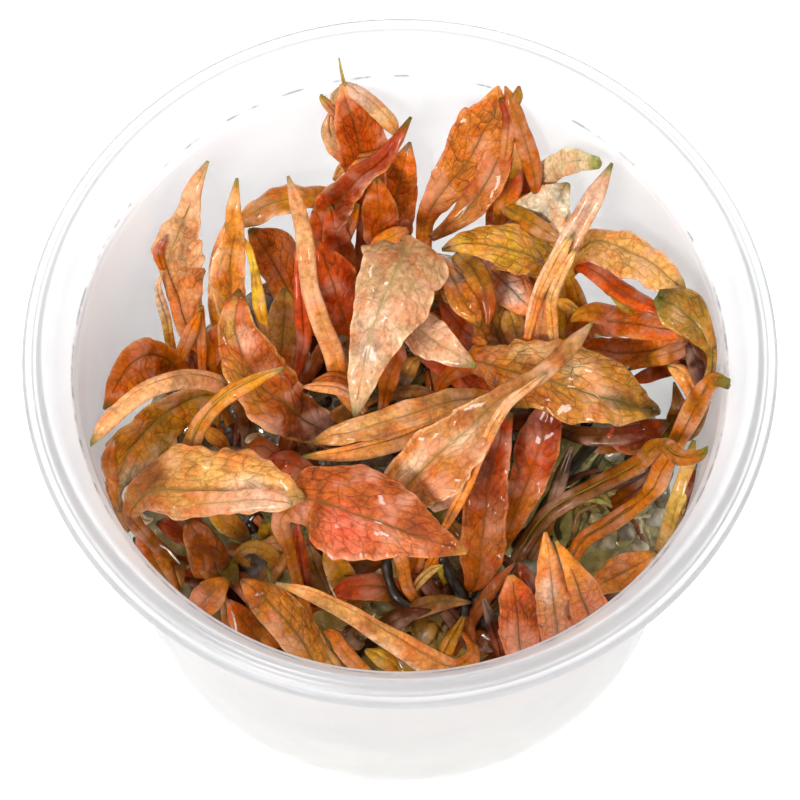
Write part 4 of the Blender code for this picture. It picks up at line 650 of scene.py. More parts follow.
# Roots and bare stalks: colour, radius in mm, and points as place in the picture and height
ROOTS = (
    ("#33200C", 0.75, (
        (386, 556, 31), (389, 580, 29), (397, 597, 28), (413, 607, 27.5), (430, 611, 27.5),
        (446, 606, 27.5), (460, 600, 27.5), (472, 606, 26))),
    ("#241606", 0.85, (
        (440, 554, 33), (449, 572, 30.5), (457, 588, 29), (465, 604, 27.5), (464, 626, 25))),
    ("#20160A", 0.7, ((502, 576, 29), (488, 585, 28.5), (478, 596, 28), (472, 610, 26))),
    ("#2E2C12", 0.55, (
        (606, 428, 34), (590, 443, 31), (575, 460, 29), (560, 478, 27), (548, 500, 25), (538, 524, 21))),
    ("#3A3616", 0.45, ((616, 432, 33), (603, 452, 30), (592, 470, 27), (572, 492, 21))),
    ("#4E2A12", 0.6, ((650, 468, 32), (620, 484, 29), (590, 492, 27), (560, 508, 25), (532, 538, 20))),
    ("#6E3416", 0.4, ((604, 470, 29), (578, 476, 27.5), (560, 490, 26), (548, 508, 21))),
    ("#A8903A", 0.35, (
        (575, 524, 20), (578, 500, 25.5), (592, 491, 26.5), (606, 497, 26), (612, 510, 24),
        (610, 526, 20))),
    ("#B8A050", 0.3, ((590, 504, 20), (610, 492, 26), (628, 500, 26), (640, 515, 24), (648, 537, 20))),
    ("#C8B878", 0.3, ((600, 514, 20), (618, 503, 25), (634, 511, 25.5), (645, 528, 24), (652, 547, 20))),
    ("#9A6A2C", 0.35, ((575, 548, 20), (574, 528, 25), (578, 514, 26), (592, 506, 25.5), (604, 512, 20))),
    ("#8A4A28", 0.35, (
        (606, 496, 21), (622, 512, 25.5), (634, 522, 25), (642, 538, 23.5), (650, 554, 20))),
    ("#F2E8DC", 0.14, ((230, 608, 31), (234, 618, 34), (236, 627, 34), (235, 637, 31))),
    ("#EFE2D4", 0.15, ((160, 545, 38), (168, 550, 38.5), (174, 557, 38), (180, 564, 34))),
    ("#E8C8A8", 0.13, ((327, 576, 31), (331, 588, 34), (337, 600, 31))),
    ("#1E1206", 0.5, ((472, 612, 26), (484, 622, 26), (494, 640, 24.5), (500, 656, 20))),
    ("#2A1A0A", 0.45, ((468, 614, 26), (455, 628, 25.5), (447, 646, 20))),
    ("#3A2A12", 0.4, ((478, 608, 26), (492, 598, 27), (503, 590, 22))),
    ("#1E2008", 0.7, (
        (604, 432, 34), (584, 455, 30), (566, 474, 28), (550, 497, 26), (530, 528, 22), (512, 546, 20))),
    ("#3E3010", 0.8, ((580, 500, 26), (556, 512, 25), (536, 528, 23), (512, 548, 20))),
    ("#C8BC7C", 0.45, ((572, 478, 27), (590, 462, 28), (604, 448, 29), (612, 434, 31))),
    ("#B4A450", 0.4, (
        (556, 530, 21), (568, 508, 25), (590, 500, 26), (612, 506, 25), (622, 524, 22), (618, 542, 20))),
    ("#D8CFA0", 0.35, ((596, 548, 20), (608, 532, 24), (626, 520, 25), (646, 516, 25), (660, 528, 20))),
    ("#7A6420", 0.4, ((566, 548, 20), (580, 530, 24), (584, 512, 25), (574, 498, 26), (558, 490, 22))),
    ("#5E4A18", 0.5, ((560, 540, 20), (556, 520, 24), (560, 502, 26), (572, 488, 26))),
    ("#E4D8B0", 0.3, ((628, 548, 20), (640, 534, 24), (640, 520, 25), (628, 506, 25), (610, 502, 22))),
    ("#2A1C08", 0.6, ((640, 440, 32), (628, 460, 29), (622, 480, 27), (630, 500, 24))),
)

# Points round a root and round a crown
ROOT_SIDES = 10
CROWN_SIDES = 24

# Leaf section: places across a blade from the left margin (-1) to the right margin (1)
ACROSS = np.array((
    -1.0, -0.975, -0.92, -0.83, -0.72, -0.6, -0.48, -0.36, -0.25, -0.15, -0.07, 0.0,
    0.07, 0.15, 0.25, 0.36, 0.48, 0.6, 0.72, 0.83, 0.92, 0.975, 1.0,
))
ACROSS_FEW = np.array((-1.0, -0.93, -0.75, -0.45, -0.15, 0.0, 0.15, 0.45, 0.75, 0.93, 1.0))
ACROSS_LEAST = np.array((-1.0, -0.8, -0.4, 0.0, 0.4, 0.8, 1.0))

# Grids of a leaf: places across, length of a step in mm, fewest and most steps
FINE_GRID = (ACROSS, 0.42, 44, 130)
SMALL_GRID = (ACROSS_FEW, 0.6, 24, 64)
LOW_GRID = (ACROSS_LEAST, 1.0, 12, 16)


def linear_colour(colour):
    """Linear red, green, blue and alpha of an sRGB hex colour such as #E8EAEA."""
    channels = np.array([int(colour[at:at + 2], 16) for at in (1, 3, 5)]) / 255
    curved = ((channels + 0.055) / 1.055) ** 2.4
    return (*np.where(channels < 0.04045, channels / 12.92, curved).tolist(), 1.0)


def smooth_step(low, high, value):
    """Rises from 0 at low to 1 at high, as 3x^2 - 2x^3 of the share x in between."""
    share = np.clip((value - low) / (high - low), 0.0, 1.0)
    return share * share * (3.0 - 2.0 * share)


def unit(vectors):
    """Vectors divided by their lengths."""
    length = np.linalg.norm(vectors, axis=-1, keepdims=True)
    return vectors / np.maximum(length, 1e-12)


def sight(across, down, height):
    """Point in space at a height (in metres) on the line of sight through a picture place."""
    rise = (VIEW_CENTRE - down) / VIEW_SCALE
    drop = VIEW_HEIGHT - height
    reach = drop * (math.cos(VIEW_TILT) + rise * math.sin(VIEW_TILT))
    reach = reach / (math.sin(VIEW_TILT) - rise * math.cos(VIEW_TILT))
    depth = reach * math.cos(VIEW_TILT) + drop * math.sin(VIEW_TILT)
    return np.array(((across - VIEW_CENTRE) * depth / VIEW_SCALE, reach - VIEW_BACK, height))


def smooth_rows(rows, count):
    """Rows of numbers carried along a smooth curve through the given rows, evenly by length.

    The curve is a cubic between each two rows, whose slope at a row comes from its neighbours.
    """
    rows = np.asarray(rows, float)
    steps = np.linalg.norm(np.diff(rows[:, :3], axis=0), axis=1)
    knots = np.concatenate(((0.0,), np.cumsum(steps)))
    slopes = np.gradient(rows, knots, axis=0)
    places = np.linspace(0.0, knots[-1], count)
    cell = np.clip(np.searchsorted(knots, places, side="right") - 1, 0, len(steps) - 1)
    width = steps[cell][:, None]
    part = ((places - knots[cell]) / steps[cell])[:, None]
    return (
        rows[cell] * (1 + 2 * part) * (1 - part) ** 2
        + rows[cell + 1] * part ** 2 * (3 - 2 * part)
        + slopes[cell] * width * part * (1 - part) ** 2
        - slopes[cell + 1] * width * part ** 2 * (1 - part)
    )


def leaf_rows(crown, turn, lifts, stations):
    """Midrib, left margin and right margin points of a leaf at its stations, stalk first."""
    table = np.array([(*row, row[-1])[:5] for row in stations], float)
    course = np.gradient(table[:, :2], axis=0)
    course /= np.linalg.norm(course, axis=1)[:, None]
    rows = []
    for (across, down, height, *halves), (run_x, run_y) in zip(table, course):
        row = [sight(across, down, height * MM)]
        for half, lift, side in zip(halves, lifts, (1, -1)):
            margin = (across + side * run_y * half, down - side * run_x * half)
            row.append(sight(*margin, (height + lift * half / PICTURE_PER_MM) * MM))
        rows.append(np.concatenate(row))
    if crown:
        angle = math.radians(turn)
        outward = np.array((math.cos(angle), math.sin(angle), 0.0))
        aside = np.array((-math.sin(angle), math.cos(angle), 0.0)) * STALK_HALF_WIDTH
        if aside @ (rows[0][3:6] - rows[0][6:9]) < 0:
            aside = -aside
        foot = sight(*CROWNS[crown], STALK_FOOT) + outward * (CROWN_RADIUS + STALK_GAP)
        rows.insert(0, np.concatenate((foot, foot + aside, foot - aside)))
        root = foot - outward * (STALK_GAP + CROWN_RADIUS / 2) - (0, 0, STALK_ROOT)
        rows.insert(0, np.concatenate((root, root + aside, root - aside)))
    return np.array(rows)


def closed_surface(name, parts, finish):
    """Mesh object of closed tubes: grids of points (ring, place round the ring).

    The last point of a ring joins its first, and each end is a fan to its ring's centre. A
    part is its grid and its marks, which are grids of four numbers kept as attributes.
    """
    points, faces, marks, start = [], [], {}, 0
    for grid, colours in parts:
        rings, around = grid.shape[:2]
        here = start + np.arange(rings * around).reshape(rings, around)
        beside = np.roll(here, -1, axis=1)
        quads = np.stack((here[:-1], beside[:-1], beside[1:], here[1:]), axis=-1)
        pole = start + rings * around
        near = np.stack((beside[0], here[0], np.full(around, pole)), axis=-1)
        far = np.stack((here[-1], beside[-1], np.full(around, pole + 1)), axis=-1)
        faces += quads.reshape(-1, 4).tolist() + near.tolist() + far.tolist()
        points += [grid.reshape(-1, 3), grid[0].mean(0)[None], grid[-1].mean(0)[None]]
        for mark, values in colours.items():
            ends = (values[0].mean(0)[None], values[-1].mean(0)[None])
            marks.setdefault(mark, []).extend((values.reshape(-1, 4), *ends))
        start = pole + 2
    mesh = bpy.data.meshes.new(name)
    mesh.from_pydata(np.concatenate(points).tolist(), [], faces)
    for mark, values in marks.items():
        layer = mesh.attributes.new(mark, "FLOAT_COLOR", "POINT")
        layer.data.foreach_set("color", np.concatenate(values).astype(np.float32).ravel())
    mesh.shade_smooth()
    mesh.materials.append(finish)
    piece = bpy.data.objects.new(name, mesh)
    bpy.context.scene.collection.objects.link(piece)
    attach(piece, "root")
    return piece


def rounded(profile, radius, points=5):
    """Section with soft corners: each corner P is a curve A(1-t)^2 + 2Pt(1-t) + Bt^2.

    A and B lie on the two sides of the corner, a radius away or at most 0.4 of the side.
    """
    line = np.array(profile, float)
    before, corner, after = line[:-2], line[1:-1], line[2:]
    back, ahead = before - corner, after - corner
    reach_back = np.minimum(radius, 0.4 * np.linalg.norm(back, axis=1))[:, None]
    reach_ahead = np.minimum(radius, 0.4 * np.linalg.norm(ahead, axis=1))[:, None]
    a = (corner + unit(back) * reach_back)[:, None]
    b = (corner + unit(ahead) * reach_ahead)[:, None]
    t = np.linspace(0.0, 1.0, points)[None, :, None]
    curve = a * (1 - t) ** 2 + 2 * corner[:, None] * t * (1 - t) + b * t ** 2
    return np.concatenate((line[:1], curve.reshape(-1, 2), line[-1:]))


def filled_in(profile, step):
    """Section with more points along its long sides, none further apart than a step."""
    parts = [profile[:1]]
    for start, end in zip(profile[:-1], profile[1:]):
        count = max(1, math.ceil(np.linalg.norm(end - start) / step))
        parts.append(start + (end - start) * np.linspace(0, 1, count + 1)[1:, None])
    return np.concatenate(parts)


def turned(profile, sides):
    """Grid of a section carried round Z: x = r cos a, y = r sin a, z = height."""
    angle = np.arange(sides) * math.tau / sides
    radius, height = profile[:, :1], profile[:, 1:]
    return np.stack(
        (radius * np.cos(angle), radius * np.sin(angle), height + 0 * angle), axis=-1
    )


def tube(path, radii, around):
    """Grid of round rings along a path: centre + r (cos a side + sin a up).

    Side and up stand square to the path's direction and are carried along by a fixed pole.
    """
    path = np.asarray(path, float)
    ahead = unit(np.gradient(path, axis=0))
    pole = np.array((0.31, 0.22, 0.92))
    side = unit(np.cross(pole, ahead))
    up = np.cross(ahead, side)
    angle = np.arange(around) * math.tau / around
    ring = side[:, None] * np.cos(angle)[:, None] + up[:, None] * np.sin(angle)[:, None]
    return path[:, None] + ring * np.asarray(radii, float)[:, None, None]


def add_node(tree, kind, inputs=(), **settings):
    """Adds a shader node with its settings; an input that is a socket is linked, others set."""
    made = tree.nodes.new("ShaderNode" + kind)
    for name, value in settings.items():
        setattr(made, name, value)
    for key, value in dict(inputs).items():
        if isinstance(value, bpy.types.NodeSocket):
            tree.links.new(value, made.inputs[key])
        else:
            made.inputs[key].default_value = value
    return made


def new_finish(name, constants):
    """Material with its Principled shader and the shader's constant values set."""
    finish = bpy.data.materials.new(name)
    finish.use_nodes = True
    shader = finish.node_tree.nodes["Principled BSDF"]
    for key, value in constants.items():
        shader.inputs[key].default_value = value
    return finish, finish.node_tree, shader


def moulded_polypropylene(settings):
    """Natural polypropylene, injection moulded: milky, half clear, with flow waves.

    It scatters part of the light and lets the rest through blurred, and the thick rim is the
    milkiest. Its creases, where the wall turns sharply, carry fine broken grey lines of painted
    shade.
    """
    finish, tree, shader = new_finish("moulded_polypropylene", {
        "Transmission Weight": settings.clearness,
        "Roughness": settings.frost,
        "IOR": 1.49,
        "Specular IOR Level": 0.4,
    })
    crease_shade_and_thickness = add_node(tree, "Attribute", attribute_name="crease_shade_and_thickness")
    parts = add_node(tree, "SeparateColor", {"Color": crease_shade_and_thickness.outputs["Color"]})
    place = add_node(tree, "TexCoord").outputs["Object"]
    waves = add_node(tree, "TexNoise", {
        "Vector": place, "Scale": 1 / (6 * MM), "Detail": 2.0, "Roughness": 0.5,
    }).outputs["Fac"]
    cloud = add_node(tree, "MapRange", {
        "Value": waves, "From Min": 0.3, "From Max": 0.7, "To Min": 0.97, "To Max": 1.03,
    }).outputs["Result"]
    broken = add_node(tree, "TexNoise", {
        "Vector": place, "Scale": 1 / (3 * MM), "Detail": 3.0,
    }).outputs["Fac"]
    shown = add_node(tree, "MapRange", {
        "Value": broken, "From Min": 0.44, "From Max": 0.60, "To Min": 0.12, "To Max": 1.0,
    }).outputs["Result"]
    # Painted shade: grey lines along the wall's creases, broken up by noise
    line = add_node(tree, "Math", {0: parts.outputs[0], 1: shown},
                    operation="MULTIPLY").outputs[0]
    plastic = add_node(tree, "Mix", {
        "Factor": parts.outputs[1], 6: (*settings.colour, 1.0), 7: (*settings.thick_colour, 1.0),
    }, data_type="RGBA").outputs[2]
    milk = add_node(tree, "VectorMath", {
        0: plastic, 1: cloud,
    }, operation="MULTIPLY").outputs["Vector"]
    colour = add_node(tree, "Mix", {
        "Factor": line, 6: milk, 7: linear_colour("#4A4E54"),
    }, data_type="RGBA").outputs[2]
    tree.links.new(colour, shader.inputs["Base Color"])
    bump = add_node(tree, "Bump", {
        "Height": waves, "Strength": 0.25, "Distance": 0.2 * MM,
    }).outputs["Normal"]
    tree.links.new(bump, shader.inputs["Normal"])
    return finish


def set_agar(settings):
    """Agar gel, poured and set: wet, part clear and part milky, stained where plants stand, and darkened
    by painted shade under the leaves.
    """
    finish, tree, shader = new_finish("set_agar", {
        "Roughness": 0.14,
        "IOR": 1.34,
        "Transmission Weight": settings.clearness,
        "Coat Weight": 1.0,
        "Coat Roughness": 0.03,
    })
    stain_and_shade = add_node(tree, "Attribute", attribute_name="stain_and_shade").outputs["Color"]
    place = add_node(tree, "TexCoord").outputs["Object"]
    cloud = add_node(tree, "TexNoise", {
        "Vector": place, "Scale": 1 / (3 * MM), "Detail": 4.0, "Distortion": 0.6,
    }).outputs["Fac"]
    shade = add_node(tree, "MapRange", {
        "Value": cloud, "From Min": 0.35, "From Max": 0.65, "To Min": 0.5, "To Max": 1.85,
    }).outputs["Result"]
    colour = add_node(tree, "VectorMath", {0: stain_and_shade, 1: shade}, operation="MULTIPLY")
    tree.links.new(colour.outputs["Vector"], shader.inputs["Base Color"])
    crumbs = add_node(tree, "TexNoise", {
        "Vector": place, "Scale": 1 / (1.2 * MM), "Detail": 3.0,
    }).outputs["Fac"]
    bump = add_node(tree, "Bump", {
        "Height": crumbs, "Strength": 0.6, "Distance": 0.4 * MM,
    }).outputs["Normal"]
    tree.links.new(bump, shader.inputs["Normal"])
    return finish


def wet_leaf(settings):
    """Wet leaf skin: a mottled cuticle, puckered between its veins, under a film of water.

    The marks say where a point lies on its blade and which colours it has there. The midrib
    is a line with dark flanks. Arched side veins and two nets of fine veins are dark lines
    round small cushions, each darker towards its edge by painted shade. The nets' meshes are
    2.1 mm and 0.8 mm wide, since the finest veins of such a leaf wouldn't show. The fine specks are partly
    the skin's own and partly painted tiny glints.
    Some cloudy parts are bruised, and others turn pale, partly as pale tissue and partly as painted sheen
    of the wet film; the pale parts are the wettest.
    """
    finish, tree, shader = new_finish("wet_leaf", {
        "IOR": 1.42,
        "Coat Weight": settings.wetness,
        "Coat Roughness": 0.08,
        "Coat IOR": 1.38,
        "Specular IOR Level": 0.1,
    })
    flesh = add_node(tree, "Attribute", attribute_name="flesh")
    veins = add_node(tree, "Attribute", attribute_name="veins")
    rib = add_node(tree, "Attribute", attribute_name="rib")
    blade = add_node(tree, "Attribute", attribute_name="blade")
    parts = add_node(tree, "SeparateColor", {"Color": blade.outputs["Color"]})
    along, aside, reach = parts.outputs[0], parts.outputs[1], parts.outputs[2]
    width = blade.outputs["Alpha"]
    place = add_node(tree, "TexCoord").outputs["Object"]

    wander = add_node(tree, "TexNoise", {
        "Vector": place, "Scale": 1 / (3 * MM), "Detail": 2.0,
    }).outputs["Fac"]
    shift = add_node(tree, "MapRange", {
        "Value": wander, "From Min": 0.25, "From Max": 0.75, "To Min": -0.6, "To Max": 0.6,
    }).outputs["Result"]
    off = add_node(tree, "Math", {0: aside}, operation="ABSOLUTE").outputs[0]
    slant = add_node(tree, "Math", {0: off, 1: -0.7, 2: along},
                     operation="MULTIPLY_ADD").outputs[0]
    drift = add_node(tree, "Math", {0: slant, 1: shift}, operation="ADD").outputs[0]
    swing = add_node(tree, "Math", {0: aside, 1: 1.5, 2: shift},
                     operation="MULTIPLY_ADD").outputs[0]
    spot = add_node(tree, "CombineXYZ", {"X": drift, "Y": swing}).outputs[0]
    cells = add_node(tree, "TexVoronoi", {
        "Vector": spot, "Scale": 1 / settings.net_spacing, "Randomness": 0.8,
    }, feature="DISTANCE_TO_EDGE", voronoi_dimensions="2D").outputs["Distance"]
    net = add_node(tree, "MapRange", {
        "Value": cells, "From Min": 0.012, "From Max": 0.056, "To Min": 1.0, "To Max": 0.0,
    }, interpolation_type="SMOOTHSTEP").outputs["Result"]
    cushion = add_node(tree, "MapRange", {
        "Value": cells, "From Min": 0.0, "From Max": 0.25,
    }, interpolation_type="SMOOTHSTEP").outputs["Result"]
    meshes = add_node(tree, "TexVoronoi", {
        "Vector": spot, "Scale": NETS_RATIO / settings.net_spacing, "Randomness": 1.0,
    }, feature="DISTANCE_TO_EDGE", voronoi_dimensions="2D").outputs["Distance"]
    veinlets = add_node(tree, "MapRange", {
        "Value": meshes, "From Min": 0.02, "From Max": 0.12, "To Min": 0.25, "To Max": 0.0,
    }).outputs["Result"]

    sway = add_node(tree, "Math", {0: shift, 1: 0.02, 2: reach},
                    operation="MULTIPLY_ADD").outputs[0]
    arch = add_node(tree, "Math", {0: sway, 1: 0.14}, operation="PINGPONG").outputs[0]
    far = add_node(tree, "Math", {0: arch, 1: width}, operation="MULTIPLY").outputs[0]
    arches = add_node(tree, "MapRange", {
        "Value": far, "From Min": 0.02, "From Max": 0.085, "To Min": 0.8, "To Max": 0.0,
    }, interpolation_type="SMOOTHSTEP").outputs["Result"]
    both = add_node(tree, "Math", {0: net, 1: arches}, operation="MAXIMUM").outputs[0]
    every = add_node(tree, "Math", {0: both, 1: veinlets},
                     operation="MAXIMUM").outputs[0]
    broad = add_node(tree, "MapRange", {
        "Value": width, "From Min": 1.4, "From Max": 3.0,
    }, interpolation_type="SMOOTHSTEP").outputs["Result"]
    faint = add_node(tree, "TexNoise", {
        "Vector": place, "Scale": 1 / (4.5 * MM), "Detail": 3.0,
    }).outputs["Fac"]
    patchy = add_node(tree, "MapRange", {
        "Value": faint, "From Min": 0.35, "From Max": 0.62, "To Min": 1.0, "To Max": 0.3,
    }).outputs["Result"]
    shown = add_node(tree, "Math", {0: every, 1: broad}, operation="MULTIPLY").outputs[0]
    uneven = add_node(tree, "Math", {0: shown, 1: patchy},
                      operation="MULTIPLY").outputs[0]
    mask = add_node(tree, "Math", {0: uneven, 1: veins.outputs["Alpha"]},
                    operation="MULTIPLY").outputs[0]

    # Fine specks: partly the skin's own speckles and partly painted tiny glints
    fine = add_node(tree, "TexNoise", {
        "Vector": place, "Scale": 1 / (0.8 * MM), "Detail": 5.0, "Roughness": 0.75,
    }).outputs["Fac"]
    specks_and_glints = add_node(tree, "MapRange", {
        "Value": fine, "From Min": 0.3, "From Max": 0.7,
    }).outputs["Result"]
    speck_and_glint_tint = add_node(tree, "Mix", {
        "Factor": specks_and_glints, 6: (0.62, 0.5, 0.31, 1.0), 7: (1.42, 1.4, 1.22, 1.0),
    }, data_type="RGBA").outputs[2]
    speckled = add_node(tree, "VectorMath", {
        0: flesh.outputs["Color"], 1: speck_and_glint_tint,
    }, operation="MULTIPLY").outputs["Vector"]
    warm = add_node(tree, "VectorMath", {
        0: speckled, 1: (1.05, 0.68, 0.5),
    }, operation="MULTIPLY").outputs["Vector"]
    blush = add_node(tree, "MapRange", {
        "Value": wander, "From Min": 0.45, "From Max": 0.65, "To Min": 0.0, "To Max": 0.8,
    }).outputs["Result"]
    flushed = add_node(tree, "Mix", {
        "Factor": blush, 6: speckled, 7: warm,
    }, data_type="RGBA").outputs[2]
    # Pale patches: partly pale tissue and partly painted sheen of the wet film
    pale_and_sheen = add_node(tree, "MapRange", {
        "Value": faint, "From Min": 0.50, "From Max": 0.68, "To Min": 0.0, "To Max": 0.32,
    }).outputs["Result"]
    paled_and_sheened = add_node(tree, "Mix", {
        "Factor": pale_and_sheen, 6: flushed, 7: linear_colour("#F0BDA0"),
    }, data_type="RGBA").outputs[2]
    bruise = add_node(tree, "MapRange", {
        "Value": faint, "From Min": 0.32, "From Max": 0.46, "To Min": 0.62, "To Max": 1.0,
    }).outputs["Result"]
    # Painted shade: each cushion is darker towards its edge, where the veins lie low
    hollow_shade = add_node(tree, "MapRange", {
        "Value": cushion, "To Min": 0.93, "To Max": 1.03,
    }).outputs["Result"]
    shade = add_node(tree, "Math", {0: hollow_shade, 1: bruise},
                     operation="MULTIPLY").outputs[0]
    puckered = add_node(tree, "VectorMath", {0: paled_and_sheened, 1: shade},
                        operation="MULTIPLY").outputs["Vector"]
    veined = add_node(tree, "Mix", {
        "Factor": mask, 6: puckered, 7: veins.outputs["Color"],
    }, data_type="RGBA").outputs[2]

    ratio = add_node(tree, "Math", {0: off, 1: rib.outputs["Alpha"]},
                     operation="DIVIDE").outputs[0]
    flank = add_node(tree, "MapRange", {
        "Value": ratio, "From Min": 1.0, "From Max": 5.0, "To Min": 0.38, "To Max": 0.0,
    }, interpolation_type="SMOOTHSTEP").outputs["Result"]
    flanked = add_node(tree, "Mix", {
        "Factor": flank, 6: veined, 7: rib.outputs["Color"],
    }, data_type="RGBA").outputs[2]
    spine = add_node(tree, "MapRange", {
        "Value": ratio, "From Min": 0.6, "From Max": 1.2, "To Min": 0.85, "To Max": 0.0,
    }, interpolation_type="SMOOTHSTEP").outputs["Result"]
    colour = add_node(tree, "Mix", {
        "Factor": spine, 6: flanked, 7: rib.outputs["Color"],
    }, data_type="RGBA").outputs[2]
    tree.links.new(colour, shader.inputs["Base Color"])

    puddle = add_node(tree, "MapRange", {
        "Value": faint, "From Min": 0.42, "From Max": 0.56,
    }, interpolation_type="SMOOTHSTEP").outputs["Result"]
    film = add_node(tree, "Math", {0: puddle, 1: flesh.outputs["Alpha"]},
                    operation="MULTIPLY").outputs[0]
    gloss = add_node(tree, "MapRange", {
        "Value": film, "To Min": 0.5, "To Max": 0.22,
    }).outputs["Result"]
    tree.links.new(gloss, shader.inputs["Roughness"])
    pillow = add_node(tree, "Math", {0: cushion, 1: broad},
                      operation="MULTIPLY").outputs[0]
    height = add_node(tree, "Math", {0: pillow, 1: 0.9, 2: fine},
                      operation="MULTIPLY_ADD").outputs[0]
    bump = add_node(tree, "Bump", {
        "Height": height, "Strength": 0.7, "Distance": 0.14 * MM,
    }).outputs["Normal"]
    tree.links.new(bump, shader.inputs["Normal"])
    return finish


def root_bark():
    """Root stock bark: brown, ringed by old leaf scars, wet and a little hairy."""
    finish, tree, shader = new_finish("root_bark", {
        "IOR": 1.42, "Coat Weight": 0.6, "Coat Roughness": 0.1,
    })
    place = add_node(tree, "TexCoord").outputs["Object"]
    grain = add_node(tree, "TexNoise", {
        "Vector": place, "Scale": 1 / (0.8 * MM), "Detail": 5.0,
    }).outputs["Fac"]
    shade = add_node(tree, "MapRange", {
        "Value": grain, "From Min": 0.3, "From Max": 0.7, "To Min": 0.45, "To Max": 1.5,
    }).outputs["Result"]
    bark = add_node(tree, "Attribute", attribute_name="bark").outputs["Color"]
    colour = add_node(tree, "VectorMath", {0: bark, 1: shade}, operation="MULTIPLY")
    tree.links.new(colour.outputs["Vector"], shader.inputs["Base Color"])
    tree.links.new(grain, shader.inputs["Roughness"])
    bump = add_node(tree, "Bump", {
        "Height": grain, "Strength": 0.8, "Distance": 0.3 * MM,
    }).outputs["Normal"]
    tree.links.new(bump, shader.inputs["Normal"])
    return finish


def floor_paper():
    """Matt white paper: even, with a faint grain."""
    finish, tree, shader = new_finish("matt_white_paper", {
        "Roughness": 0.9, "Specular IOR Level": 0.0,
        "Emission Color": (1.0, 1.0, 1.0, 1.0), "Emission Strength": 1.22,
    })
    place = add_node(tree, "TexCoord").outputs["Object"]
    grain = add_node(tree, "TexNoise", {
        "Vector": place, "Scale": 1 / (2 * MM), "Detail": 2.0,
    }).outputs["Fac"]
    tone = add_node(tree, "Mix", {
        "Factor": grain, 6: linear_colour("#787878"), 7: linear_colour("#808080"),
    }, data_type="RGBA").outputs[2]
    tree.links.new(tone, shader.inputs["Base Color"])
    return finish


class CupSettings(bpy.types.PropertyGroup):
    """Sizes and finish of the cup."""

    wall: FloatProperty(
        name="Wall", description="Thickness of the cup's wall and floor",
        default=0.0008, min=0.0003, max=0.003, unit="LENGTH",
    )
    sides: IntProperty(
        name="Sides", description="Points round the turned cup", default=256, min=32, max=512,
    )
    frost: FloatProperty(
        name="Frost", description="Roughness of the moulded plastic",
        default=0.34, min=0.0, max=1.0, subtype="FACTOR",
    )
    clearness: FloatProperty(
        name="Clearness", description="Share of the light that passes through the plastic",
        default=0.84, min=0.0, max=1.0, subtype="FACTOR",
    )
    colour: FloatVectorProperty(
        name="Plastic", description="Milky colour of the plastic", subtype="COLOR",
        default=linear_colour("#FEFEFF")[:3], min=0.0, max=1.0,
    )
    thick_colour: FloatVectorProperty(
        name="Thick plastic", description="Milky colour of the thick rim", subtype="COLOR",
        default=linear_colour("#E6E8EA")[:3], min=0.0, max=1.0,
    )


class GelSettings(bpy.types.PropertyGroup):
    """Sizes and finish of the culture gel."""

    level: FloatProperty(
        name="Level", description="Mean height of the gel's top",
        default=GEL_LEVEL, min=0.010, max=0.030, unit="LENGTH",
    )
    lumps: FloatProperty(
        name="Lumps", description="Height of the soft lumps on the gel's top",
        default=0.0011, min=0.0, max=0.003, unit="LENGTH",
    )
    crumbs: IntProperty(
        name="Crumbs", description="Number of loose gel crumbs", default=70, min=0, max=400,
    )
    clearness: FloatProperty(
        name="Clearness", description="Share of the light that passes straight through",
        default=0.45, min=0.0, max=1.0, subtype="FACTOR",
    )
    depth_colour: FloatVectorProperty(
        name="Depth", description="Milky colour of the gel at the wall", subtype="COLOR",
        default=linear_colour("#E6DAB4")[:3], min=0.0, max=1.0,
    )


class LeafSettings(bpy.types.PropertyGroup):
    """Sizes and finish of the leaves."""

    blade: FloatProperty(
        name="Blade", description="Half thickness of the open blade",
        default=0.00013, min=0.00005, max=0.0005, unit="LENGTH",
    )
    rib: FloatProperty(
        name="Midrib", description="Extra half thickness along the midrib",
        default=0.00034, min=0.0, max=0.001, unit="LENGTH",
    )
    camber: FloatProperty(
        name="Camber", description="Bulge of each blade half, as a share of its width",
        default=0.11, min=-0.3, max=0.3,
    )
    ruffle: FloatProperty(
        name="Ruffle", description="Height of the waves along the margins",
        default=0.00045, min=0.0, max=0.002, unit="LENGTH",
    )
    ruffle_length: FloatProperty(
        name="Ruffle length", description="Length of one wave along a margin",
        default=0.0075, min=0.002, max=0.03, unit="LENGTH",
    )
    quilt: FloatProperty(
        name="Quilting", description="Depth of the furrows between the side veins",
        default=0.00014, min=0.0, max=0.0005, unit="LENGTH",
    )
    crumple: FloatProperty(
        name="Crumple", description="Height of the soft folds across a blade",
        default=0.00042, min=0.0, max=0.002, unit="LENGTH",
    )
    wander: FloatProperty(
        name="Wander", description="How far the margins go in and out, as a share of the width",
        default=0.045, min=0.0, max=0.3,
    )
    net_spacing: FloatProperty(
        name="Net spacing", description="Width of the vein net's meshes in millimetres",
        default=2.1, min=0.3, max=5.0,
    )
    wetness: FloatProperty(
        name="Wetness", description="Share of the skin under a film of water",
        default=0.5, min=0.0, max=1.0, subtype="FACTOR",
    )
    low_count: IntProperty(
        name="Low bits", description="Number of old leaf bits low between the stalks",
        default=80, min=0, max=300,
    )


class StageSettings(bpy.types.PropertyGroup):
    """Light and floor round the cup."""

    sky: FloatProperty(
        name="Sky", description="Strength of the even white surroundings",
        default=0.62, min=0.0, max=5.0,
    )
    key: FloatProperty(
        name="Key light", description="Power of the softbox in front on the left",
        default=5.6, min=0.0, max=200.0, unit="POWER",
    )
    fill: FloatProperty(
        name="Fill light", description="Power of the softbox on the right",
        default=0.9, min=0.0, max=200.0, unit="POWER",
    )
    back: FloatProperty(
        name="Back light", description="Power of the small softbox behind",
        default=2.2, min=0.0, max=200.0, unit="POWER",
    )
    top: FloatProperty(
        name="Top light", description="Power of the large softbox overhead",
        default=0.4, min=0.0, max=200.0, unit="POWER",
    )


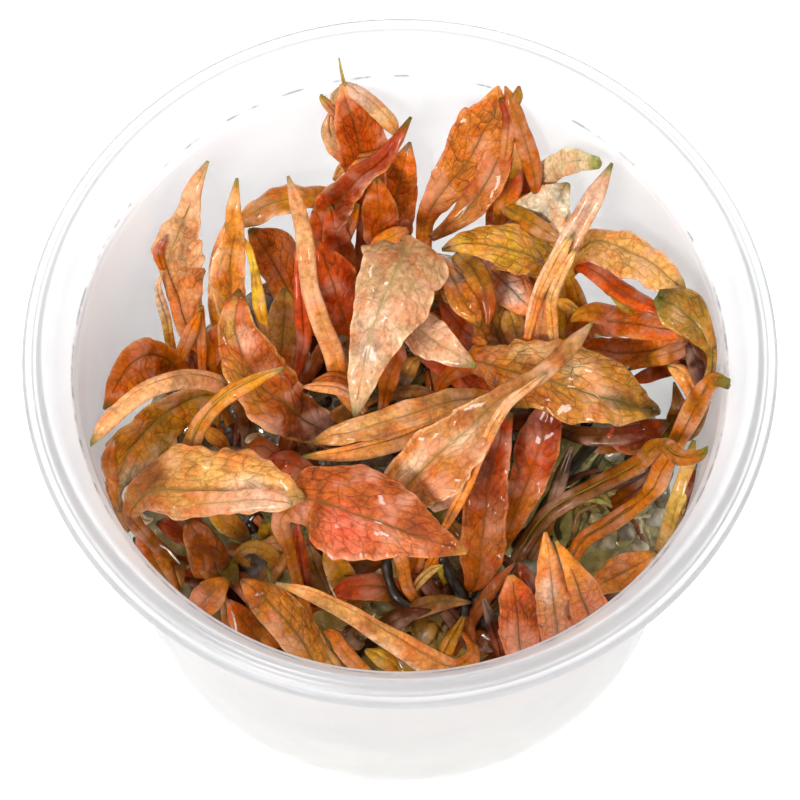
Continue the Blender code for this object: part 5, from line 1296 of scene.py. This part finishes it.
class AddCup(bpy.types.Operator):
    """Add the clear plastic cup"""

    bl_idname = "water_trumpet.add_cup"
    bl_label = "Cup"
    bl_options = {"REGISTER", "UNDO"}

    def execute(self, context):
        cup = context.scene.trumpet_cup
        rim_foot = CUP_HEIGHT - RIM_THICKNESS
        edge = 0.0004
        floor = FOOT_HEIGHT + cup.wall
        foot_inside = FOOT_RADIUS - FOOT_WIDTH
        profile = (
            (AXIS_RADIUS, FOOT_HEIGHT),
            (foot_inside - 0.0006, FOOT_HEIGHT),
            (foot_inside, 0.0),
            (FOOT_RADIUS, 0.0),
            (FOOT_RADIUS + 0.0015, 0.0022),
            (WALL_FOOT_RADIUS + cup.wall, WALL_FOOT),
            (WALL_TOP_RADIUS + cup.wall, WALL_TOP - MM),
            (MOUTH_RADIUS, rim_foot - edge),
            (RIM_RADIUS - edge, rim_foot),
            (RIM_RADIUS, rim_foot + RIM_STEP),
            (RIM_RADIUS - edge, CUP_HEIGHT - RIM_STEP),
            (RIM_RADIUS - 0.0010, CUP_HEIGHT - RIM_STEP),
            (RIM_RADIUS - 0.0013, CUP_HEIGHT - 1.4 * RIM_STEP),
            (RIM_RADIUS - 0.0016, CUP_HEIGHT - RIM_STEP),
            (MOUTH_RADIUS + 2 * RIM_STEP, CUP_HEIGHT - RIM_STEP),
            (MOUTH_RADIUS + RIM_STEP, CUP_HEIGHT),
            (MOUTH_RADIUS, CUP_HEIGHT),
            (SEAT_RADIUS, CUP_HEIGHT - SEAT_DEPTH),
            (WALL_TOP_RADIUS, WALL_TOP),
            (WALL_FOOT_RADIUS, WALL_FOOT),
            (FOOT_RADIUS, floor + FLOOR_RISE),
            (foot_inside, floor),
            (AXIS_RADIUS, floor),
        )
        line = filled_in(rounded(profile, SOFT_CORNER), SECTION_STEP)
        # Painted shade: a grey line at the lid seat's crease and a fainter one at the mouth
        seat = np.linalg.norm(line - (SEAT_RADIUS, CUP_HEIGHT - SEAT_DEPTH), axis=1)
        mouth = np.linalg.norm(line - (MOUTH_RADIUS, CUP_HEIGHT), axis=1)
        crease = np.exp(-(seat / CREASE_WIDTH) ** 2)
        crease = crease + 0.25 * np.exp(-(mouth / CREASE_WIDTH) ** 2)
        thick = smooth_step(SEAT_RADIUS, MOUTH_RADIUS, line[:, 0])
        crease_shade_and_thickness = np.stack((crease, thick, 0 * thick, 0 * thick), axis=-1)
        marks = {"crease_shade_and_thickness": np.broadcast_to(crease_shade_and_thickness[:, None], (len(line), cup.sides, 4))}
        shell = closed_surface(
            "clear_cup", [(turned(line, cup.sides), marks)], moulded_polypropylene(cup)
        )
        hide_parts("cup")
        return {"FINISHED"}


def wall_radius(height):
    """Inner radius of the cup's wall at a height between its foot and the lid seat."""
    share = (height - WALL_FOOT) / (WALL_TOP - WALL_FOOT)
    return WALL_FOOT_RADIUS + share * (WALL_TOP_RADIUS - WALL_FOOT_RADIUS)


def gel_top(x, y, lumps):
    """Height of the gel's lumps over its mean level: three long waves and six short ones."""
    waves = sum(np.cos(a * x / MM + b * y / MM + c) for a, b, c in LUMP_WAVES)
    crumbs = sum(np.cos(a * x / MM + b * y / MM + c) for a, b, c in CRUMB_WAVES)
    return lumps * (waves / len(LUMP_WAVES) + 0.35 * crumbs / len(CRUMB_WAVES))


def stains_and_shade(points):
    """Stain and painted shade colours at points: the spots' colours weighed by exp(-(distance / reach)^2).
    """
    total, colour = 1e-9, 0.0
    for across, down, reach, shade in GEL_STAINS_AND_SHADE:
        off = (points - sight(across, down, GEL_LEVEL))[..., :2]
        weight = np.exp(-(off ** 2).sum(-1) / (reach * MM) ** 2)[..., None] + 1e-4
        colour = colour + weight * np.array(linear_colour(shade))
        total = total + weight
    return colour / total


def lump(centre, radii, start, rings=12, around=18):
    """Grid of a dented ball: centre + radii * way * (1 + 0.16 dents), a ring at a time."""
    polar = np.linspace(math.pi - 0.12, 0.12, rings)[:, None]
    angle = (np.arange(around) * math.tau / around)[None]
    way = np.stack((
        np.sin(polar) * np.cos(angle), np.sin(polar) * np.sin(angle), np.cos(polar) + 0 * angle,
    ), axis=-1)
    dents = np.sin(3.1 * way[..., 0] + start) * np.cos(2.4 * way[..., 1] - 2 * start)
    dents = dents + 0.6 * np.sin(4.7 * way[..., 2] + 3 * way[..., 0] + 5 * start)
    return centre + way * np.asarray(radii) * (1 + 0.16 * dents[..., None])


class AddGel(bpy.types.Operator):
    """Add the culture gel"""

    bl_idname = "water_trumpet.add_gel"
    bl_label = "Culture gel"
    bl_options = {"REGISTER", "UNDO"}

    def execute(self, context):
        gel = context.scene.trumpet_gel
        radius = wall_radius(gel.level) - GAP
        side = (
            (AXIS_RADIUS, GEL_FOOT),
            (FOOT_RADIUS - FOOT_WIDTH - GAP, GEL_FOOT),
            (FOOT_RADIUS - GAP, GEL_FOOT + FLOOR_RISE),
            (WALL_FOOT_RADIUS - GAP, WALL_FOOT),
            (radius, gel.level),
            (AXIS_RADIUS, gel.level),
        )
        line = filled_in(rounded(side, GEL_CORNER), GEL_STEP)
        grid = turned(line, GEL_SIDES)
        reach = np.linalg.norm(grid[..., :2], axis=-1)
        top = smooth_step(gel.level - GEL_CORNER, gel.level, grid[..., 2])
        grid[..., 2] += top * gel_top(grid[..., 0], grid[..., 1], gel.lumps)
        # Inside the milky edge the top takes the stains and the painted shade under the leaves
        inner = smooth_step(*STAIN_AND_SHADE_EDGES, reach) * top
        milky = np.array((*gel.depth_colour, 1.0))
        stain_and_shade = milky + (stains_and_shade(grid) - milky) * inner[..., None]
        cake = closed_surface("agar_gel", [(grid, {"stain_and_shade": stain_and_shade})], set_agar(gel))
        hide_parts("culture_gel")
        return {"FINISHED"}


class AddGelLumps(bpy.types.Operator):
    """Add the lumps and crumbs of gel between the plants"""

    bl_idname = "water_trumpet.add_gel_lumps"
    bl_label = "Gel lumps"
    bl_options = {"REGISTER", "UNDO"}

    def execute(self, context):
        dice = np.random.default_rng(CRUMB_SEED)
        parts = []
        for across, down, height, *radii, shade in GEL_LUMPS:
            grid = lump(sight(across, down, height * MM), np.array(radii) * MM, len(parts))
            parts.append((grid, linear_colour(shade)))
        for _ in range(context.scene.trumpet_gel.crumbs):
            angle, radius = dice.uniform((0, 0.5 * MM), (math.tau, 1.1 * MM))
            reach = CRUMB_REACH * math.sqrt(dice.uniform())
            place = np.array((reach * math.cos(angle), reach * math.sin(angle), GEL_LEVEL))
            grid = lump(place + (0, 0, 0.8 * radius), (radius, radius, 0.9 * radius), angle, 6, 9)
            parts.append((grid, stains_and_shade(place) * dice.uniform(0.5, 1.6)))
        parts = [
            (grid, {"stain_and_shade": np.broadcast_to(shade, (*grid.shape[:2], 4))}) for grid, shade in parts
        ]
        lumps = closed_surface("gel_lumps", parts, bpy.data.materials["set_agar"])
        return {"FINISHED"}


class AddRoots(bpy.types.Operator):
    """Add the roots, bare stalks and root hairs"""

    bl_idname = "water_trumpet.add_roots"
    bl_label = "Roots"
    bl_options = {"REGISTER", "UNDO"}

    def execute(self, context):
        parts = []
        for shade, radius, points in ROOTS:
            rows = [np.tile(sight(a, b, height * MM), 3) for a, b, height in points]
            path = smooth_rows(rows, 8 * len(rows))[:, :3]
            share = np.linspace(0.0, 1.0, len(path))
            radii = radius * MM * (1 + 0.12 * np.sin(23 * share + len(parts)))
            radii = radii * np.sqrt(np.clip(1 - (2 * share - 1) ** 12, 0.05, 1))
            colours = np.broadcast_to(linear_colour(shade), (len(path), ROOT_SIDES, 4))
            parts.append((tube(path, radii, ROOT_SIDES), {"bark": colours}))
        roots = closed_surface("root_strands", parts, bpy.data.materials["root_bark"])
        return {"FINISHED"}


class AddCrowns(bpy.types.Operator):
    """Add the root stocks that carry the leaves"""

    bl_idname = "water_trumpet.add_crowns"
    bl_label = "Crowns"
    bl_options = {"REGISTER", "UNDO"}

    def execute(self, context):
        finish = root_bark()
        height = np.linspace(0.0, 1.0, 48)
        for short, place in CROWNS.items():
            name = "crown_" + short
            x, y, _ = sight(*place, STALK_FOOT)
            z = float(CROWN_BOX[0][2]) + height * (CROWN_TOP - float(CROWN_BOX[0][2]))
            radius = CROWN_RADIUS * (0.35 + 0.65 * smooth_step(0.0, 0.35, height))
            radius = radius * np.sqrt(np.clip(1 - ((height - 0.88) / 0.12).clip(0) ** 2, 0.12, 1))
            radius = radius * (1 + 0.07 * np.sin(height * math.tau * 9))
            path = np.stack((x + 0 * z, y + 0 * z, z), axis=-1)
            bark = np.broadcast_to(linear_colour("#3A2410"), (len(path), CROWN_SIDES, 4))
            part = (tube(path, radius, CROWN_SIDES), {"bark": bark})
            stock = closed_surface(name + "_stock", [part], finish)
            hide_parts(name)
        return {"FINISHED"}


def leaf_colours(look, share, across, width, patches_and_highlights):
    """Flesh, vein and midrib colours of a leaf, as mixes of its colours by place.

    The flesh turns from the near to the far colour along the leaf. The margin is a band of
    0.4 mm, and the tip the last 6% of the leaf. A patch is a soft oval of another colour, and
    some patches are painted highlights. The midrib's fourth number is its half width in mm,
    which shrinks to the tip.
    """
    skin, near, far = look
    margin, rib, tip, vein, rib_strength, vein_strength, shine = SKINS[skin]
    near, far, margin, rib, tip, vein = (
        np.array(linear_colour(c)) for c in (near, far, margin, rib, tip, vein)
    )
    reach = np.abs(across)
    share = share[:, None]
    blend = smooth_step(0.3, 0.75, share)[..., None]
    flesh = near + (far - near) * blend + 0 * reach[..., None]
    rim = np.exp(-((1 - reach) * width / 0.4) ** 2) * smooth_step(1.2, 2.5, width) * 0.75
    flesh = flesh + (margin - flesh) * rim[..., None]
    end = smooth_step(0.94, 1.0, share) * 0.9 + 0 * reach
    flesh = flesh + (tip - flesh) * end[..., None]
    # Patches, some of them painted highlights
    for at, side, length, breadth, colour, strength in patches_and_highlights:
        spread = ((share - at) / length) ** 2 + ((across - side) / breadth) ** 2
        oval = strength * np.exp(-spread ** 2)
        flesh = flesh + (np.array(linear_colour(colour)) - flesh) * oval[..., None]
    flesh[..., 3] = shine
    veins = np.broadcast_to(vein, flesh.shape).copy()
    veins[..., 3] = vein_strength
    ribs = flesh + (rib - flesh) * rib_strength
    ribs[..., 3] = (RIB_HALF_WIDTH / MM) * np.clip(width / 3.0, 0.35, 1.0) * (1.1 - 0.7 * share)
    return flesh, veins, ribs


def leaf_surface(rows, look, rolled, settings, seed, grid=FINE_GRID, patches_and_highlights=()):
    """Closed grid of a leaf: its sheet plus relief, moved half its thickness to each face.

    The sheet is straight from the midrib M to each margin E: M + |v| (E - M), and each margin
    wanders in and out by a few hundredths of its width. The relief along its normal is a
    camber 4|v|(1 - |v|), waves that grow with |v|^3 to the margin, folds that cross the
    blade, and furrows between arched side veins. Where it would pass the cup's wall, it is
    drawn in to lie against the wall. The half thickness is that of the blade, rounded at the
    margins, plus a bell along the midrib, and turns into an ellipse where the leaf is narrow
    or rolled.
    """
    dice = np.random.default_rng(seed)
    places, pitch, fewest, most = grid
    length = np.linalg.norm(np.diff(rows[:, :3], axis=0), axis=1).sum()
    steps = int(np.clip(length / (pitch * MM), fewest, most))
    line = smooth_rows(rows, steps)
    middle, left, right = line[:, None, 0:3], line[:, None, 3:6], line[:, None, 6:9]
    share = np.linspace(0.0, 1.0, steps)
    along = share[:, None] * length / MM
    side = np.sign(places)[None]
    reach = np.abs(places)[None]
    start = dice.uniform(0, math.tau, 12)
    margin = np.where((places < 0)[None, :, None], left, right)
    wander = 0.6 * np.sin(along * 0.9 + start[6] + side * start[7])
    wander = wander + 0.4 * np.sin(along * 2.1 + start[8] + side * start[9])
    body = smooth_step(0.15, 0.4, share)[:, None] * smooth_step(1.0, 0.9, share)[:, None]
    spread = reach * (1 + (0 if rolled else settings.wander) * body * wander * reach ** 2)
    sheet = middle + spread[..., None] * (margin - middle)
    width = np.linalg.norm(margin - middle, axis=2) / MM

    ahead = np.gradient(line[:, 0:3], axis=0)
    flat = unit(np.cross(right[:, 0] - left[:, 0], ahead))[:, None]
    broad = smooth_step(1.0, 3.0, width)
    if rolled:
        relief = 0.00012 * np.sin(along * 0.8 + start[0]) * reach
    else:
        wave = along * MM / settings.ruffle_length * math.tau
        waves = np.sin(wave + start[0] + side * start[1])
        waves = waves + 0.5 * np.sin(2.3 * wave + start[2] + side * start[3])
        relief = settings.camber * width * MM * 4 * reach * (1 - reach)
        relief = relief + settings.ruffle * broad * reach ** 3 * waves
        furrow = along - 1.1 * reach * width + 0.6 * np.sin(0.9 * along + start[4])
        relief = relief - settings.quilt * broad * np.cos(furrow / 3.2 * math.tau) * reach
        lean = 0.7 * math.cos(start[10]) * width * places[None]
        crease = np.abs(np.sin(wave * 0.37 + lean + start[5])) - 0.6
        relief = relief + settings.crumple * broad * body * crease
        dents = np.sin(wave * 0.8 - 1.7 * lean + start[11]) * np.cos(2.2 * reach + side)
        relief = relief + 0.5 * settings.crumple * broad * body * dents
    sheet = sheet + relief[..., None] * flat
    height = sheet[..., 2]
    room = wall_radius(np.minimum(height, WALL_TOP)) - WALL_SPARE
    room = room + RIM_SLOPE * np.maximum(height - WALL_TOP, 0.0)
    sheet[..., :2] *= np.minimum(1.0, room / np.hypot(sheet[..., 0], sheet[..., 1]))[..., None]
    normal = unit(np.cross(np.gradient(sheet, axis=1), np.gradient(sheet, axis=0)))

    slim = 1.0 if rolled else smooth_step(1.9, 1.0, width)
    edge = np.sqrt(np.clip(1 - reach ** 2, 0, 1))
    thin = settings.blade * np.sqrt(np.clip(1 - reach ** 8, 0, 1))
    bell = settings.rib * (1 - 0.6 * share[:, None]) * np.exp(-(reach * width / 0.4) ** 2)
    plump = 0.62 * np.minimum(width, 1.5) * MM * edge
    over = slim * plump + (1 - slim) * (thin + 0.25 * bell)
    under = slim * plump + (1 - slim) * (thin + 1.4 * bell)
    if rolled:
        seam = np.exp(-((places[None] - 0.25) / 0.12) ** 2)
        over = over * (1 - 0.35 * seam)
    top = sheet + over[..., None] * normal
    low = (sheet - under[..., None] * normal)[:, -2:0:-1]
    across = places[None] + 0 * along
    flesh, veins, ribs = leaf_colours(look, share, across, width, patches_and_highlights)
    blade = np.stack((along + 0 * across, across * width, np.abs(across), width), axis=-1)
    marks = {"flesh": flesh, "veins": veins, "rib": ribs, "blade": blade}
    marks = {key: np.concatenate((grid, grid[:, -2:0:-1]), axis=1) for key, grid in marks.items()}
    return np.concatenate((top, low), axis=1), marks


class AddLeaves(bpy.types.Operator):
    """Add the leaves with their stalks"""

    bl_idname = "water_trumpet.add_leaves"
    bl_label = "Leaves"
    bl_options = {"REGISTER", "UNDO"}

    def execute(self, context):
        leaf = context.scene.trumpet_leaves
        finish = wet_leaf(leaf)
        for seed, (short, blade) in enumerate(BLADES.items()):
            name = "leaf_" + short
            crown, tone, turn, lifts, look, stations = blade
            rows = leaf_rows(crown, turn, lifts, stations)
            patches_and_highlights = PATCHES_AND_HIGHLIGHTS.get(short, ())
            parts = [leaf_surface(rows, look, short in ROLLED, leaf, seed, FINE_GRID, patches_and_highlights)]
            for lobe, (*look, lifts, stations) in enumerate(LOBES.get(short, ())):
                rows = leaf_rows(None, 0, lifts, stations)
                number = LOBE_SEEDS + 10 * seed + lobe
                parts.append(leaf_surface(rows, look, False, leaf, number, SMALL_GRID))
            piece = closed_surface("blade_" + short, parts, finish)
            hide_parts(name)
        return {"FINISHED"}


class AddSmallLeaves(bpy.types.Operator):
    """Add the small leaves and leaf bits between the others"""

    bl_idname = "water_trumpet.add_small_leaves"
    bl_label = "Small leaves"
    bl_options = {"REGISTER", "UNDO"}

    def execute(self, context):
        leaf = context.scene.trumpet_leaves
        finish = bpy.data.materials["wet_leaf"]
        for seed, (name, (skin, near, far, lifts, stations)) in enumerate(SMALL_LEAVES.items()):
            rows = leaf_rows(None, 0, lifts, stations)
            look = (skin, near, far)
            part = leaf_surface(rows, look, False, leaf, SMALL_SEEDS + seed, SMALL_GRID)
            piece = closed_surface(name, [part], finish)
        return {"FINISHED"}


class AddLowLeaves(bpy.types.Operator):
    """Add the old leaf bits that lie low between the stalks"""

    bl_idname = "water_trumpet.add_low_leaves"
    bl_label = "Low leaf bits"
    bl_options = {"REGISTER", "UNDO"}

    def execute(self, context):
        leaf = context.scene.trumpet_leaves
        dice = np.random.default_rng(LOW_SEED)
        window = sight(*GEL_WINDOW, GEL_LEVEL)[:2]
        along = np.linspace(0.0, 1.0, 5)[:, None]
        parts = []
        while len(parts) < leaf.low_count:
            angle, turn, length, rise, half = dice.uniform(
                (0, 0, 8 * MM, 5 * MM, 0.8 * MM), (math.tau, math.tau, 14 * MM, 13 * MM, 1.7 * MM)
            )
            reach = LOW_REACH * math.sqrt(dice.uniform())
            foot = np.array((reach * math.cos(angle), reach * math.sin(angle), GEL_LEVEL))
            ahead = np.array((math.cos(turn), math.sin(turn), 0.0))
            aside = np.array((-math.sin(turn), math.cos(turn), dice.uniform(-0.6, 0.6)))
            tip = foot + ahead * length
            if np.linalg.norm(tip[:2]) > LOW_REACH + 2 * MM:
                continue
            if min(np.linalg.norm(end[:2] - window) for end in (foot, tip)) < WINDOW_RADIUS:
                continue
            path = foot + ahead * length * along + np.array((0, 0, rise)) * np.sin(along * 1.8)
            span = aside * half * np.array((0.5, 0.9, 1.0, 0.7, 0.1))[:, None]
            rows = np.concatenate((path, path + span, path - span), axis=1)
            # Dark looks, partly painted shade of the depth between the stalks
            look = LOW_LOOKS[len(parts) % len(LOW_LOOKS)]
            number = LOW_BIT_SEEDS + len(parts)
            parts.append(leaf_surface(rows, look, False, leaf, number, LOW_GRID))
        bits = closed_surface("low_leaf_bits", parts, bpy.data.materials["wet_leaf"])
        return {"FINISHED"}


class AddStage(bpy.types.Operator):
    """Add the floor, the lights and the camera"""

    bl_idname = "water_trumpet.add_stage"
    bl_label = "Stage"
    bl_options = {"REGISTER", "UNDO"}

    def execute(self, context):
        scene = context.scene
        stage = scene.trumpet_stage
        span = np.array(((-1, -1, 0), (1, -1, 0), (1, 1, 0), (-1, 1, 0))) * 3.0
        mesh = bpy.data.meshes.new("paper_floor")
        mesh.from_pydata(span.tolist(), [], [(0, 1, 2, 3)])
        mesh.materials.append(floor_paper())
        floor = bpy.data.objects.new("paper_floor", mesh)
        scene.collection.objects.link(floor)

        world = bpy.data.worlds.new("white_surroundings")
        world.use_nodes = True
        sky = world.node_tree.nodes["Background"]
        sky.inputs["Color"].default_value = (1.0, 1.0, 1.0, 1.0)
        sky.inputs["Strength"].default_value = stage.sky
        scene.world = world
        scene.view_settings.view_transform = "Standard"

        # Softboxes: name, power, side in metres, and place
        lights = (
            ("key_softbox", stage.key, 0.22, (-0.30, -0.52, 0.58)),
            ("fill_softbox", stage.fill, 0.30, (0.55, -0.35, 0.42)),
            ("back_softbox", stage.back, 0.14, (0.02, 0.33, 0.78)),
            ("top_softbox", stage.top, 0.50, (0.10, 0.0, 0.85)),
        )
        for name, power, size, place in lights:
            light = bpy.data.lights.new(name, "AREA")
            light.energy = power
            light.size = size
            lamp = bpy.data.objects.new(name, light)
            lamp.location = place
            lamp.rotation_euler = aim(place)
            scene.collection.objects.link(lamp)

        eye = bpy.data.cameras.new("picture_eye")
        eye.sensor_width = SENSOR
        eye.lens = VIEW_SCALE / PICTURE_SIZE * SENSOR
        camera = bpy.data.objects.new("picture_eye", eye)
        camera.location = (0.0, -VIEW_BACK, VIEW_HEIGHT)
        camera.rotation_euler = (math.pi / 2 - VIEW_TILT, 0.0, 0.0)
        scene.collection.objects.link(camera)
        scene.camera = camera
        return {"FINISHED"}


def aim(place):
    """Euler angles that point a light's -Z axis from its place at the cup's middle."""
    x, y, z = place[0], place[1], place[2] - CUP_HEIGHT / 2
    return (math.atan2(math.hypot(x, y), z), 0.0, math.atan2(x, -y))


class TrumpetPanel(bpy.types.Panel):
    """Lists the pieces and their settings"""

    bl_idname = "VIEW3D_PT_water_trumpet"
    bl_label = "Water Trumpet"
    bl_space_type = "VIEW_3D"
    bl_region_type = "UI"
    bl_category = "Water Trumpet"

    def draw(self, context):
        for group in ("trumpet_cup", "trumpet_gel", "trumpet_leaves", "trumpet_stage"):
            box = self.layout.box()
            settings = getattr(context.scene, group)
            for key in settings.__annotations__:
                box.prop(settings, key)
        for operator in OPERATORS:
            self.layout.operator(operator.bl_idname)


SETTINGS = {
    "trumpet_cup": CupSettings,
    "trumpet_gel": GelSettings,
    "trumpet_leaves": LeafSettings,
    "trumpet_stage": StageSettings,
}
OPERATORS = (
    AddStage, AddCup, AddGel, AddGelLumps, AddCrowns, AddRoots, AddLeaves, AddSmallLeaves,
    AddLowLeaves,
)


def register():
    for kind in (*SETTINGS.values(), *OPERATORS, TrumpetPanel):
        bpy.utils.register_class(kind)
    for name, kind in SETTINGS.items():
        setattr(bpy.types.Scene, name, PointerProperty(type=kind))


def unregister():
    for name in SETTINGS:
        delattr(bpy.types.Scene, name)
    for kind in (TrumpetPanel, *reversed(OPERATORS), *SETTINGS.values()):
        bpy.utils.unregister_class(kind)


def main():
    register()
    for operator in OPERATORS:
        group, name = operator.bl_idname.split(".")
        getattr(getattr(bpy.ops, group), name)()


if __name__ == "__main__":
    main()
